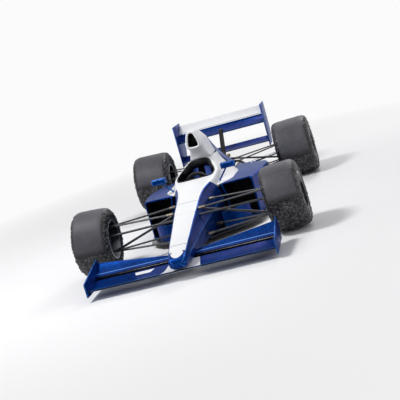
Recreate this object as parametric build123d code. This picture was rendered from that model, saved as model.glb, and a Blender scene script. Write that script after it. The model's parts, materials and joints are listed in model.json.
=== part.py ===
"""Open wheel racing car, a single seater of the slick tyre era, in millimetres.

+X is the car's left, -Y its front and +Z up. The origin lies on the ground under the middle of the
car's length. Stations along the car are given from the front axle or from the rear axle, so a
longer wheelbase stretches the body between them. Each sub-part is written to parts/NODE.step.
"""

from build123d import *
from functools import cache
from math import cos, radians, sin
import os

# Overall layout
FRONT_OVERHANG = 900
WHEELBASE = 2720
REAR_OVERHANG = 700
FRONT_TRACK = 1760
REAR_TRACK = 1720
LENGTH = FRONT_OVERHANG + WHEELBASE + REAR_OVERHANG
FRONT_AXLE = -LENGTH / 2 + FRONT_OVERHANG
REAR_AXLE = FRONT_AXLE + WHEELBASE
FIT = 0.3  # gap left between seated faces that aren't flat
RUNNING = 0.05  # radial clearance of a shaft in its bore

# Wheels and tyres
FRONT_TYRE_RADIUS = 298
FRONT_TYRE_WIDTH = 340
FRONT_CAMBER = 3.5
REAR_TYRE_RADIUS = 334
REAR_TYRE_WIDTH = 430
REAR_CAMBER = 2.0
RIM_RADIUS = 165
RIM_WALL = 6
RIM_FLANGE = 12
RIM_INSET = 10
TYRE_SHOULDER = 46
TYRE_WALL = 14
AXLE_RADIUS = 22
HUB_RADIUS = 58
SPOKE_COUNT = 10
DISC_RADIUS = 138
DISC_THICKNESS = 28

# Front upright, in the wheel's own frame: x outwards, z up
KINGPIN_INSET = 88
BALL_JOINT_HEIGHT = 104
BALL_JOINT_DEPTH = 20
BALL_JOINT_RADIUS = 21
KINGPIN_RADIUS = 9
ARM_REACH = 108
ARM_HEIGHT = 26
ARM_PIN_RADIUS = 5
TRACK_ROD_RADIUS = 10

# Suspension tubes, of an oval section, and their inner ends
TUBE_CHORD = 38
TUBE_THICKNESS = 16
PUSHROD_RADIUS = 11
TUBE_BITE = 14  # how far a tube enters its pocket

# Body
RIDE_HEIGHT = 45
FLOOR_THICKNESS = 15
TUB_WALL = 25
SHELL_WALL = 12
TUB_BREAK = -150  # the joint of nose and tub, from the front axle
FOOTWELL_FRONT = 200
COCKPIT_FRONT = 700
COCKPIT_REAR = 1230
TUB_REAR = 1650
POD_FRONT = 620
POD_SWEEP = 70  # how much further back the pod's outer edge starts
POD_TAIL = 450  # ahead of the rear axle
COVER_TAIL = 250  # ahead of the rear axle
COVER_BASE = 410
DIFFUSER_START = 120  # ahead of the rear axle
AIRBOX_FRONT = 1250
SNORKEL_REACH = 150
ENGINE_LENGTH = 480
ENGINE_WIDTH = 280
DRIVELINE_TOP = 400
GEARBOX_TAIL = 330  # behind the rear axle

# Wings
FRONT_WING_SPAN = 1580
FRONT_WING_CHORD = 290
FRONT_WING_HEIGHT = 88
FRONT_FLAP_TIP_CHORD = 190
FRONT_FLAP_ROOT_CHORD = 70
FRONT_FLAP_ANGLE = 27
WING_SLOT = 14
PLATE_THICKNESS = 12
REAR_WING_SPAN = 1090
REAR_WING_HEIGHT = 690
REAR_WING_CHORD = 260
REAR_WING_ANGLE = 16
REAR_FLAP_CHORD = 150
REAR_FLAP_ANGLE = 35
BEAM_WING_HEIGHT = 450
BEAM_WING_CHORD = 190
REAR_WING_SETBACK = 290  # leading edge, behind the rear axle
PILLAR_WIDTH = 40

ACROSS = dict(x_dir=(1, 0, 0), z_dir=(0, -1, 0))  # a plane across the car: local x is X, local y is Z
ALONG = dict(x_dir=(0, 1, 0), z_dir=(1, 0, 0))  # a plane along the car: local x is Y, local y is Z


def outline(points, radius=0):
    """A flat face through points, its corners rounded."""
    face = make_face(Polyline(*points, close=True))
    return fillet(face.vertices(), radius) if radius else face


def across(y, points, radius=0):
    """A closed outline in the plane across the car at y."""
    return Plane(origin=(0, y, 0), **ACROSS) * outline(points, radius)


def half_section(y, half, radius):
    """A section mirrored about the car's centre line, from half its points, bottom to top."""
    return across(y, [*half, *((-x, z) for x, z in reversed(half))], radius)


def plate(points, x_low, x_high, radius=0):
    """An outline in the plane along the car, as thick as from x_low to x_high."""
    face = Plane(origin=(x_low, 0, 0), **ALONG) * outline(points, radius)
    return extrude(face, amount=x_high - x_low, dir=(1, 0, 0))


def slab(points, z_low, z_high, radius=0):
    """A plan outline, as thick as from z_low to z_high."""
    return extrude(Pos(0, 0, z_low) * outline(points, radius), amount=z_high - z_low)


def mirrored(points):
    """A plan outline from its left half, front to back."""
    return [*points, *((-x, y) for x, y in reversed(points))]


def box(x, y, z):
    """A box from three (low, high) pairs."""
    size = [high - low for low, high in (x, y, z)]
    return Pos(*(sum(pair) / 2 for pair in (x, y, z))) * Box(*size)


def rod(start, end, radius):
    """A round bar from start to end."""
    start, end = Vector(*start), Vector(*end)
    return Plane(origin=start, z_dir=end - start) * Cylinder(
        radius, (end - start).length, align=(Align.CENTER, Align.CENTER, Align.MIN)
    )


def oval_tube(start, end, grow=0):
    """A suspension tube of an oval section, its long side along the car, grown all round by grow."""
    start, end = Vector(*start), Vector(*end)
    run = (end - start).normalized()
    start, end = start - run * grow, end + run * grow
    broad = (Vector(0, 1, 0) - run * run.Y).normalized()
    section = Plane(origin=start, x_dir=broad, z_dir=run) * Ellipse(
        TUBE_CHORD / 2 + grow, TUBE_THICKNESS / 2 + grow
    )
    return extrude(section, amount=(end - start).length, dir=run)


def turned(profile):
    """A solid turned about the X axis from an (x, radius) outline in the XZ plane."""
    return revolve(Plane(origin=(0, 0, 0), x_dir=(1, 0, 0), z_dir=(0, -1, 0)) * profile, Axis.X)


def ring(x_low, x_high, inner, outer):
    """A ring or disc about the X axis."""
    return turned(outline([(x_low, inner), (x_high, inner), (x_high, outer), (x_low, outer)]))


def largest(shape):
    """The largest of a shape's solids."""
    return max(shape.solids(), key=lambda solid: solid.volume)


def both(shape):
    """A left piece and its mirror image, as one compound of separate solids."""
    return Compound([*shape.solids(), *mirror(shape, about=Plane.YZ).solids()])


def wing_profile(chord, sag, thickness, edge=5):
    """An inverted wing section: leading edge at the origin, trailing edge at (chord, 0)."""
    face = make_face(
        [
            Line((0, -edge), (0, edge)),
            ThreePointArc((0, edge), (chord / 2, edge - sag), (chord, edge)),
            Line((chord, edge), (chord, edge - 4)),
            ThreePointArc((chord, edge - 4), (chord * 0.45, -sag - thickness), (0, -edge)),
        ]
    )
    nose = face.vertices().sort_by(Axis.X)[:2]
    return fillet(nose, edge * 0.9)


def wing(x, y, z, angle, profile):
    """A wing profile in the plane along the car at x, its leading edge at (y, z), tilted by angle."""
    return Plane(origin=(x, y, z), **ALONG) * (Rot(0, 0, angle) * profile)


# ---------------------------------------------------------------- wheels


class Corner:
    """One left corner of the car: the wheel's own frame and what sits in it."""

    def __init__(self, axle_y, track, radius, width, camber):
        flat = width / 2 - TYRE_SHOULDER
        tilt = radians(camber)
        self.radius, self.width = radius, width
        self.height = (radius - TYRE_SHOULDER) * cos(tilt) + flat * sin(tilt) + TYRE_SHOULDER
        self.place = Pos(track / 2, axle_y, self.height) * Rot(0, -camber, 0)
        self.rim_half = width / 2 - RIM_INSET

    def point(self, x, y, z):
        """A point of the wheel's own frame, in the car's frame."""
        return tuple((self.place * Pos(x, y, z)).position)

    def tyre(self):
        half, bead = self.width / 2, self.rim_half - 8
        mid, lip = (RIM_RADIUS + self.radius) / 2, RIM_RADIUS + RIM_FLANGE + 1
        outer = outline(
            [(-bead, RIM_RADIUS), (bead, RIM_RADIUS), (bead, lip), (half, mid), (half, self.radius),
             (-half, self.radius), (-half, mid), (-bead, lip)]
        )
        shoulders = outer.vertices().filter_by(lambda vertex: vertex.Y > mid + 1)
        outer = fillet(shoulders, TYRE_SHOULDER)
        wall = TYRE_WALL
        inner = outline(
            [(-bead + wall, RIM_RADIUS), (bead - wall, RIM_RADIUS), (half - wall, mid),
             (half - wall, self.radius - wall), (-half + wall, self.radius - wall),
             (-half + wall, mid)],
            TYRE_SHOULDER / 4,
        )
        mouth = Rectangle(2 * (bead - wall), TYRE_SHOULDER / 2)
        air = inner + Pos(0, RIM_RADIUS + TYRE_SHOULDER / 4) * mouth
        return self.place * turned(outer - air)

    def rim(self):
        half, inner = self.rim_half, RIM_RADIUS - RIM_WALL
        barrel = ring(-half, half, inner, RIM_RADIUS)
        for low in (-half, half - 8):
            barrel += ring(low, low + 8, inner, RIM_RADIUS + RIM_FLANGE)
        face = half * 0.45
        dish = ring(face, face + 14, 0, inner + 1)
        window = Trapezoid(50, inner - HUB_RADIUS - 34, 101, rotation=180)
        window = fillet((Pos(0, (HUB_RADIUS + inner) / 2) * window).vertices(), 7)
        hole = extrude(Plane(origin=(face - 1, 0, 0), **ALONG) * window, amount=16)
        holes = [Rot(turn * 360 / SPOKE_COUNT, 0, 0) * hole for turn in range(SPOKE_COUNT)]
        hub = ring(-8, face + 20, 0, HUB_RADIUS)
        nut = ring(face + 20, face + 44, 0, HUB_RADIUS * 0.62)
        bore = ring(-9, face + 20, 0, AXLE_RADIUS + RUNNING)
        return self.place * (barrel + (dish - holes) + hub + nut - bore)

    def brake(self):
        low = -62
        disc = ring(low, low + DISC_THICKNESS, HUB_RADIUS + 14, DISC_RADIUS)
        bell = ring(low, -8, HUB_RADIUS + 4, HUB_RADIUS + 15)
        flange = ring(-20, -8, AXLE_RADIUS + RUNNING, HUB_RADIUS + 15)
        return self.place * (disc + bell + flange)

    def axle(self):
        return ring(-26, self.rim_half * 0.45 + 19, 0, AXLE_RADIUS)

    def carrier(self):
        """The bearing carrier with the brake caliper, in the wheel's own frame."""
        body = ring(-105, -26, 0, HUB_RADIUS - 6) + self.axle()
        height = BALL_JOINT_HEIGHT
        web = box((-108, -68), (-30, 30), (12 - height, height - 12))
        web += rod((-KINGPIN_INSET, 0, -height), (-KINGPIN_INSET, 0, height), 15)
        caliper = box((-84, -8), (84, DISC_RADIUS + 12), (-48, 48)) & ring(-84, -8, 84, DISC_RADIUS + 14)
        caliper -= ring(-68, -28, 0, DISC_RADIUS + 5)
        bracket = box((-84, -70), (24, 110), (-20, 20))
        return body + web + (caliper + bracket)


front = Corner(FRONT_AXLE, FRONT_TRACK, FRONT_TYRE_RADIUS, FRONT_TYRE_WIDTH, FRONT_CAMBER)
rear = Corner(REAR_AXLE, REAR_TRACK, REAR_TYRE_RADIUS, REAR_TYRE_WIDTH, REAR_CAMBER)


def front_upright():
    """The knuckle: carrier, two kingpin pins and the steering arm with its pin."""
    shape = front.carrier()
    shape += rod((-KINGPIN_INSET, 0, -BALL_JOINT_HEIGHT - BALL_JOINT_DEPTH - 6),
                 (-KINGPIN_INSET, 0, BALL_JOINT_HEIGHT + BALL_JOINT_DEPTH + 6), KINGPIN_RADIUS)
    shape += box((-KINGPIN_INSET - 12, -KINGPIN_INSET + 12), (-ARM_REACH - 12, 0),
                 (ARM_HEIGHT, ARM_HEIGHT + 12))
    shape += rod((-KINGPIN_INSET, -ARM_REACH, ARM_HEIGHT + 12),
                 (-KINGPIN_INSET, -ARM_REACH, ARM_HEIGHT + 38), ARM_PIN_RADIUS)
    return front.place * shape


def ball_housing(corner, side):
    """The round end of a wishbone about the kingpin, above (side 1) or below (side -1) the upright."""
    low = side * (BALL_JOINT_HEIGHT + FIT)
    high = side * (BALL_JOINT_HEIGHT + BALL_JOINT_DEPTH)
    ends = [(-KINGPIN_INSET, 0, low), (-KINGPIN_INSET, 0, high)]
    return corner.place * (rod(*ends, BALL_JOINT_RADIUS) - rod(*ends, KINGPIN_RADIUS + RUNNING))


# ---------------------------------------------------------------- nose and tub

# from the front axle, half widths at the bottom, shoulder and top, heights of the three, corner radius
NOSE_STATIONS = [
    (-FRONT_OVERHANG + 12, 62, 78, 68, 104, 148, 188, 20),
    (-740, 74, 96, 78, 96, 178, 242, 24),
    (-430, 90, 124, 90, 90, 220, 324, 28),
    (TUB_BREAK, 108, 150, 102, 84, 255, 396, 32),
]
TUB_FLOOR = RIDE_HEIGHT + FLOOR_THICKNESS
TUB_TOP = 650  # behind the cockpit
TUB_STATIONS = [
    NOSE_STATIONS[-1],
    (350, 150, 205, 128, TUB_FLOOR, 305, 500, 40),
    (COCKPIT_FRONT, 190, 250, 206, TUB_FLOOR, 330, 545, 40),
    (COCKPIT_FRONT + 160, 200, 262, 222, TUB_FLOOR, 338, 576, 40),
    (COCKPIT_REAR, 205, 262, 120, TUB_FLOOR, 340, TUB_TOP, 40),
    (TUB_REAR, 205, 262, 118, TUB_FLOOR, 340, TUB_TOP, 40),
]
TUB_HALF, SHOULDER_HEIGHT = TUB_STATIONS[-1][2], TUB_STATIONS[-1][5]


def tub_section(station, inset=0):
    """One section of nose or tub, drawn in by inset."""
    y, bottom, shoulder, top, low, middle, high, radius = station
    half = [(bottom - inset, low + inset), (shoulder - inset, middle), (top - inset * 0.8, high - inset)]
    return half_section(FRONT_AXLE + y, half, max(radius - inset * 0.7, 8))


@cache
def tub_body(front_y=TUB_BREAK, inset=0, rear_y=TUB_REAR):
    """The tub's outer or inner form, between two stations."""
    form = loft([tub_section(station, inset) for station in TUB_STATIONS], ruled=True)
    return form & box((-900, 900), (FRONT_AXLE + front_y, FRONT_AXLE + rear_y), (TUB_FLOOR + inset, 900))


def nose_tip():
    """The blunt end ahead of the first nose section."""
    y, bottom, shoulder, top, low, middle, high, radius = NOSE_STATIONS[0]
    small = (y - 12, bottom * 0.6, shoulder * 0.6, top * 0.6, low + 22, middle, high - 20, radius * 0.6)
    return loft([tub_section(small), tub_section(NOSE_STATIONS[0])])


# half the opening's plan: half width, from the front axle
COCKPIT_PLAN = [
    (164, COCKPIT_FRONT), (190, COCKPIT_FRONT + 100), (176, COCKPIT_FRONT + 200), (84, COCKPIT_REAR)
]
COCKPIT_CORNER = 34
COLUMN_TILT = 12
STEERING_WHEEL_RADIUS = 128
STEERING_WHEEL_AT = (COCKPIT_FRONT + 110, 470)  # from the front axle, and its height
DASH_AT = COCKPIT_FRONT - 90


def column_point(along):
    """A point on the steering column, along mm behind the steering wheel."""
    y, z = STEERING_WHEEL_AT
    tilt = radians(COLUMN_TILT)
    return (0, FRONT_AXLE + y + along * cos(tilt), z + along * sin(tilt))


FRONT_LEGS = [  # height of the inner end, and its two stations from the front axle
    (1, 396, -62, 300),
    (-1, 150, -62, 300),
]
GEARBOX_FRONT = TUB_REAR + ENGINE_LENGTH - WHEELBASE  # from the rear axle
REAR_LEGS = [(1, 372, 0.56 * GEARBOX_FRONT, 60), (-1, 178, 0.56 * GEARBOX_FRONT, 60)]


def tub_half_width(y, z):
    """How wide the tub is at a height and station, by straight lines between its sections."""
    rows = NOSE_STATIONS[:-1] + TUB_STATIONS
    for near, far in zip(rows, rows[1:]):
        if near[0] <= y <= far[0]:
            share = (y - near[0]) / (far[0] - near[0])
            bottom, shoulder, top, low, middle, high = (
                a + (b - a) * share for a, b in zip(near[1:7], far[1:7])
            )
            if z < middle:
                return bottom + (shoulder - bottom) * (z - low) / (middle - low)
            return shoulder + (top - shoulder) * (z - middle) / (high - middle)
    return TUB_HALF


def front_wishbone_lines():
    """(side, outer point, inner point) of the four left tubes of the front wishbones."""
    lines = []
    for side, height, *stations in FRONT_LEGS:
        outer = front.point(-KINGPIN_INSET - 12, 0, side * (BALL_JOINT_HEIGHT + BALL_JOINT_DEPTH / 2))
        for y in stations:
            x = tub_half_width(y, height) - TUBE_BITE
            lines.append((side, outer, (x, FRONT_AXLE + y, height)))
    return lines


def front_pushrod_line():
    low = front.point(-KINGPIN_INSET - 62, 6, -BALL_JOINT_HEIGHT - 8)
    y, z = 40, 372
    return low, (tub_half_width(y, z) - TUBE_BITE, FRONT_AXLE + y, z)


ARM_EYE = front.point(-KINGPIN_INSET, -ARM_REACH, ARM_HEIGHT + 22)


def steering_rack():
    """The rack bar with the two track rods, all in one line, and an open eye about each arm's pin."""
    x, y, z = ARM_EYE
    bar = rod((-x + 14, y, z), (x - 14, y, z), TRACK_ROD_RADIUS)
    for side in (-1, 1):
        eye = rod((side * x, y, z - 7), (side * x, y, z + 7), ARM_PIN_RADIUS + 13)
        bar += eye
    for side in (-1, 1):
        bar -= rod((side * x, y, z - 12), (side * x, y, z + 12), ARM_PIN_RADIUS + 5)
    return bar


def monocoque():
    """The tub: closed front, cockpit open at the top, dash beam, and pockets for what it carries."""
    outer = tub_body()
    hollow = tub_body(FOOTWELL_FRONT, TUB_WALL, TUB_REAR - TUB_WALL)
    plan = [(x, FRONT_AXLE + y) for x, y in mirrored(COCKPIT_PLAN)]
    opening = slab(plan, SHOULDER_HEIGHT, TUB_TOP + 50, COCKPIT_CORNER)
    dash = box((-900, 900), (FRONT_AXLE + DASH_AT, FRONT_AXLE + DASH_AT + 22), (370, 500)) & outer
    shape = outer - hollow - opening + dash
    shape -= rod(column_point(-350), column_point(0), 14 + RUNNING)
    x, y, z = ARM_EYE
    shape -= rod((-x, y, z), (x, y, z), TRACK_ROD_RADIUS + RUNNING)
    pockets = [oval_tube(inner, outer_end, FIT) for _, outer_end, inner in front_wishbone_lines()]
    low, high = front_pushrod_line()
    pockets.append(rod(low, high, PUSHROD_RADIUS + FIT))
    for pocket in pockets:
        shape = shape - pocket - mirror(pocket, about=Plane.YZ)
    return shape


@cache
def nose_cone():
    """The nose, solid, cut to seat on the front wing."""
    shape = loft([tub_section(s) for s in NOSE_STATIONS]) + nose_tip()
    seat = wing(-200, WING_Y, FRONT_WING_HEIGHT, 3, offset(wing_profile(FRONT_WING_CHORD, 16, 20), FIT))
    return shape - extrude(seat, amount=400, dir=(1, 0, 0))


def steering_wheel():
    """A small wheel with a flat hub plate on its column."""
    hub, front_end = column_point(0), column_point(-340)
    frame = Plane(origin=hub, x_dir=(1, 0, 0), z_dir=Vector(*hub) - Vector(*front_end))
    rim = frame * (Cylinder(STEERING_WHEEL_RADIUS, 26) - Cylinder(STEERING_WHEEL_RADIUS - 27, 30))
    spokes = frame * (Box(2 * STEERING_WHEEL_RADIUS - 40, 84, 18) + Cylinder(46, 24))
    return rim + spokes + rod(front_end, hub, 14)


# the seat's side outline and the driver's space in it, from the front axle and the tub's inner floor
SEAT_BASE = TUB_FLOOR + TUB_WALL + FIT
SEAT_THICKNESS = 30
SEAT_BACK = (960, 1270)  # where the space's back starts on the base, and where it ends
SEAT_TOP = 455  # above the base
SEAT_HALF = 140


def seat_back():
    """The bottom point, the direction along and the direction out of the seat's back."""
    low = Vector(0, FRONT_AXLE + SEAT_BACK[0], SEAT_BASE + SEAT_THICKNESS)
    run = (Vector(0, FRONT_AXLE + SEAT_BACK[1], SEAT_BASE + SEAT_TOP) - low).normalized()
    return low, run, Vector(0, -run.Z, run.Y)


def seat():
    """A bucket seat: a thick side outline less the driver's space."""
    y, z, (low, high) = FRONT_AXLE, SEAT_BASE, SEAT_BACK
    side = [(low - 250, z), (low + 32, z), (high + 32, z + 400), (high, z + 440),
            (high - 80, z + 420), (low - 20, z + 185), (low - 250, z + 105)]
    base = z + SEAT_THICKNESS
    space = [(low - 500, base), (low, base), (high, z + SEAT_TOP), (high - 120, z + 700),
             (low - 500, z + 700)]
    outer = plate([(y + a, b) for a, b in side], -SEAT_HALF, SEAT_HALF, 12)
    return outer - plate([(y + a, b) for a, b in space], 27 - SEAT_HALF, SEAT_HALF - 27)


def harness():
    """Two shoulder belts on the seat back and a buckle on the seat."""
    low, run, out = seat_back()
    middle = low + out * (3 + FIT) + run * 220
    strap = Box(52, 360, 6)
    belts = [
        Plane(origin=middle + Vector(x, 0, 0), x_dir=(1, 0, 0), z_dir=out) * strap for x in (-72, 72)
    ]
    base = SEAT_BASE + SEAT_THICKNESS
    buckle = box((-40, 40), (low.Y - 130, low.Y - 60), (base + FIT, base + 24))
    return Compound([s for part in (*belts, buckle) for s in part.solids()])


def headrest():
    """The padded collar round the back of the cockpit opening."""
    plan = outline([(x, FRONT_AXLE + y) for x, y in mirrored(COCKPIT_PLAN)], COCKPIT_CORNER)
    outer = extrude(Pos(0, 0, TUB_TOP - 110) * offset(plan, -FIT), amount=134)
    inner = [(x - 40, FRONT_AXLE + y - 60) for x, y in COCKPIT_PLAN]
    collar = outer - slab(mirrored(inner), TUB_TOP - 120, TUB_TOP + 50, 20)
    return collar & box((-400, 400), (FRONT_AXLE + COCKPIT_REAR - 250, FRONT_AXLE + COCKPIT_REAR), (0, 900))


# ---------------------------------------------------------------- airbox, cover, pods

# from the front axle, then half width and height of base, haunch, flank, shoulder and crown
AIRBOX_STATIONS = [
    (AIRBOX_FRONT, (116, TUB_TOP), (92, 715), (78, 790), (60, 900), (30, 964)),
    (TUB_REAR, (116, TUB_TOP), (98, 700), (84, 752), (60, 830), (28, 876)),
]
COVER_STATIONS = [
    (TUB_REAR, (254, COVER_BASE), (206, 520), (116, TUB_TOP), (84, 752), (60, 830), (28, 876)),
    ((TUB_REAR + WHEELBASE - COVER_TAIL) / 2,
     (216, COVER_BASE), (180, 480), (112, 552), (80, 606), (54, 652), (26, 684)),
    (WHEELBASE - COVER_TAIL, (130, COVER_BASE), (108, 446), (80, 476), (58, 498), (40, 513), (22, 522)),
]
SNORKEL = [(56, 790), (73, 816), (58, 892), (34, 968)]  # half the intake's rim: half width and height


def shell_form(stations, wall=0, stretch=0):
    """The loft through body stations, drawn in by wall and longer at both ends by stretch."""
    sections = []
    for index, (y, *half) in enumerate(stations):
        shift = {0: -stretch, len(stations) - 1: stretch}.get(index, 0)
        drawn = [(x - wall, z - (wall if level else stretch)) for level, (x, z) in enumerate(half)]
        sections.append(half_section(FRONT_AXLE + y + shift, drawn, 8))
    return loft(sections)


def airbox():
    """The fairing over the roll hoop, with the open intake above the driver."""
    front_y = FRONT_AXLE + AIRBOX_FRONT
    rim = half_section(front_y - SNORKEL_REACH, SNORKEL, 22)
    horn = extrude(rim, amount=SNORKEL_REACH + 120, dir=(0, 1, 0))
    inner_rim = [(x - 13, z + rise) for (x, z), rise in zip(SNORKEL, (13, 4, -4, -13))]
    lip = half_section(front_y - SNORKEL_REACH - 1, inner_rim, 16)
    throat = extrude(lip, amount=SNORKEL_REACH + 60, dir=(0, 1, 0))
    rear_face = box((-300, 300), (front_y + SHELL_WALL, FRONT_AXLE + TUB_REAR + 9),
                    (TUB_TOP - 9, 960))
    hollow = shell_form(AIRBOX_STATIONS, SHELL_WALL, 4) & rear_face
    return shell_form(AIRBOX_STATIONS) + horn - hollow - throat


def engine_cover():
    """The shell over the engine, open below and at its ends."""
    return shell_form(COVER_STATIONS) - shell_form(COVER_STATIONS, SHELL_WALL, 4)


# from the front axle, inner half width low and high, outer half width, outer and inner top heights
POD_STATIONS = [
    (POD_FRONT, TUB_HALF + 3, 232, 545, 446, 452),
    (POD_FRONT + 560, TUB_HALF + 3, 240, 604, 430, 450),
    (TUB_REAR, TUB_HALF + 3, 250, 604, 398, 432),
    ((TUB_REAR + WHEELBASE - POD_TAIL) / 2, 246, 238, 585, 368, 410),
    (WHEELBASE - POD_TAIL, 226, 222, 530, 335, 372),
]


def pod_form(wall=0, stretch=0):
    """One left side pod: along the tub, then drawn in towards the tail."""
    floor = TUB_FLOOR + wall
    sections = []
    for index, (y, inner, inner_top, outer, outer_top, top) in enumerate(POD_STATIONS):
        shift = {0: -stretch, len(POD_STATIONS) - 1: stretch}.get(index, 0)
        middle = min(SHOULDER_HEIGHT, top - 40)
        points = [
            (inner + wall, floor), (outer - wall, floor), (outer - wall, outer_top - wall),
            (inner_top + wall, top - wall), (inner + wall, middle),
        ]
        sections.append(across(FRONT_AXLE + y + shift, points, 10))
    return loft(sections, ruled=True)


def sidepod():
    """The pod's shell, its intake swept back outwards and clear of the tub's flank."""
    y, outer = FRONT_AXLE + POD_FRONT, POD_STATIONS[0][3] + 100
    sweep = slab(
        [(0, y), (TUB_HALF, y), (outer, y + POD_SWEEP), (outer, y - 200), (0, y - 200)], 0, 900
    )
    return pod_form() - pod_form(SHELL_WALL, 3) - sweep - tub_clearance()


@cache
def tub_clearance():
    """The tub's form grown by the gap at seated faces."""
    return tub_body() + tub_body(inset=-FIT)


def radiator():
    """The radiator core, set across the duct."""
    core = Pos(0, FRONT_AXLE + POD_FRONT + 340, 0) * Rot(0, 0, 18) * Box(2400, 60, 1200)
    return pod_form(SHELL_WALL + FIT) & core & box((0, 900), (-3000, 3000), (0, 900))


def undertray():
    """The flat floor, with its swept leading edges."""
    plan = [(100, 200), (250, 320), (440, 430), (556, POD_FRONT - 40), (612, POD_FRONT + 340),
            (608, TUB_REAR + 100), (556, WHEELBASE - 420), (470, WHEELBASE - DIFFUSER_START)]
    plan = mirrored([(x, FRONT_AXLE + y) for x, y in plan])
    return slab(plan, RIDE_HEIGHT, RIDE_HEIGHT + FLOOR_THICKNESS)


def diffuser():
    """The ramp behind the floor, with upright strakes."""
    y, low = REAR_AXLE - DIFFUSER_START, RIDE_HEIGHT
    ramp = plate([(y, low), (y + 520, low + 130), (y + 520, low + 140), (y, low + 12)], -470, 470)
    for x in (-466, -240, 232, 458):
        strake = [(y + 60, low), (y + 500, low), (y + 520, low + 132), (y + 60, low + 18)]
        ramp += plate(strake, x, x + 8)
    return ramp


def bargeboard():
    """A curved guide vane ahead of the left pod, standing on the floor."""
    y = FRONT_AXLE
    outer = ThreePointArc((236, y + 335), (380, y + 430), (470, y + 600))
    inner = ThreePointArc((463, y + 603), (374, y + 436), (232, y + 342))
    vane = make_face([outer, Line(outer @ 1, inner @ 0), inner, Line(inner @ 1, outer @ 0)])
    return extrude(Pos(0, 0, TUB_FLOOR) * vane, amount=170)


def mirror_unit():
    """A driving mirror on its stalk."""
    y = FRONT_AXLE + COCKPIT_FRONT + 10
    head = fillet(box((276, 420), (y - 34, y + 26), (576, 634)).edges(), 12)
    low = 450
    return head + rod((tub_half_width(COCKPIT_FRONT, low) - 12, y, low), (326, y, 582), 8)


# ---------------------------------------------------------------- driveline and rear suspension


def engine():
    y = FRONT_AXLE + TUB_REAR
    return box((-ENGINE_WIDTH / 2, ENGINE_WIDTH / 2), (y, y + ENGINE_LENGTH),
               (TUB_FLOOR + FIT, DRIVELINE_TOP))


# from the rear axle, half width, bottom and top of the casing
GEARBOX_STATIONS = [
    (GEARBOX_FRONT, 134, 92, DRIVELINE_TOP),
    (0.34 * GEARBOX_FRONT, 105, 112, DRIVELINE_TOP),
    (110, 95, 140, DRIVELINE_TOP - 8),
    (GEARBOX_TAIL, 62, 205, DRIVELINE_TOP - 60),
]
STARTER_HEIGHT = 232
TOW_EYE_AT = (GEARBOX_TAIL + 52, 300)


def gearbox_half_width(y):
    for near, far in zip(GEARBOX_STATIONS, GEARBOX_STATIONS[1:]):
        if near[0] <= y <= far[0]:
            return near[1] + (far[1] - near[1]) * (y - near[0]) / (far[0] - near[0])
    return GEARBOX_STATIONS[-1][1]


def rear_lines():
    """(outer point, inner point) of the left rear wishbone tubes, upper two then lower two."""
    lines = []
    for side, height, *stations in REAR_LEGS:
        for y, outer_y in zip(stations, (-34, 34)):
            outer = rear.point(-112, outer_y, side * (BALL_JOINT_HEIGHT - 10))
            lines.append((outer, (gearbox_half_width(y) - TUBE_BITE, REAR_AXLE + y, height)))
    return lines


def rear_pushrod_line():
    y = -90
    low = rear.point(-150, -40, -BALL_JOINT_HEIGHT + 30)
    return low, (gearbox_half_width(y) - 30, REAR_AXLE + y, DRIVELINE_TOP + 12)


def shaft_line():
    return rear.point(-105, 0, 0), (gearbox_half_width(0) - TUBE_BITE, REAR_AXLE, 262)


@cache
def gearbox():
    """The casing, with the starter socket and the tow eye at its tail."""
    sections = [
        half_section(REAR_AXLE + y, [(half, low), (half, high)], 18)
        for y, half, low, high in GEARBOX_STATIONS
    ]
    shape = loft(sections, ruled=True)
    tail = REAR_AXLE + GEARBOX_TAIL
    shape -= rod((0, tail - 50, STARTER_HEIGHT), (0, tail + 1, STARTER_HEIGHT), 15)
    y, z = TOW_EYE_AT
    shape += box((-5, 5), (tail, REAR_AXLE + y + 30), (z - 34, z + 34))
    shape -= rod((-20, REAR_AXLE + y, z), (20, REAR_AXLE + y, z), 20)
    for outer, inner in rear_lines():
        pocket = oval_tube(inner, outer, FIT)
        shape = shape - pocket - mirror(pocket, about=Plane.YZ)
    outer, inner = shaft_line()
    pocket = rod(inner, outer, 16 + FIT)
    shape = shape - pocket - mirror(pocket, about=Plane.YZ)
    x, y, z = rear_pushrod_line()[1]
    ear = box((x - 14, x + 14), (y - 18, y + 18), (DRIVELINE_TOP - 20, z + 8))
    return shape + ear + mirror(ear, about=Plane.YZ)


def rear_upright():
    shape = rear.carrier()
    shape += box((-116, -100), (-52, 52), (-BALL_JOINT_HEIGHT, BALL_JOINT_HEIGHT))
    return rear.place * shape


def exhaust():
    """A tail pipe beside the gearbox, on a stub from the engine."""
    y, side = FRONT_AXLE + TUB_REAR + ENGINE_LENGTH - 60, ENGINE_WIDTH / 2
    start, end = (side + 36, y - 34, 300), (side + 48, REAR_AXLE - 150, 318)
    stub = rod((side, y, 300), (side + 36, y, 300), 24)
    bore = rod((start[0], start[1] + 60, start[2]), (end[0], end[1] + 9, end[2]), 28)
    return rod(start, end, 32) + stub - bore


# ---------------------------------------------------------------- wings

WING_Y = FRONT_AXLE - FRONT_OVERHANG + 22
FRONT_WING_TAIL = FRONT_WING_HEIGHT + FRONT_WING_CHORD * sin(radians(3))


def front_wing():
    half = FRONT_WING_SPAN / 2
    face = wing(-half, WING_Y, FRONT_WING_HEIGHT, 3, wing_profile(FRONT_WING_CHORD, 16, 20))
    return extrude(face, amount=FRONT_WING_SPAN, dir=(1, 0, 0))


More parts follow.
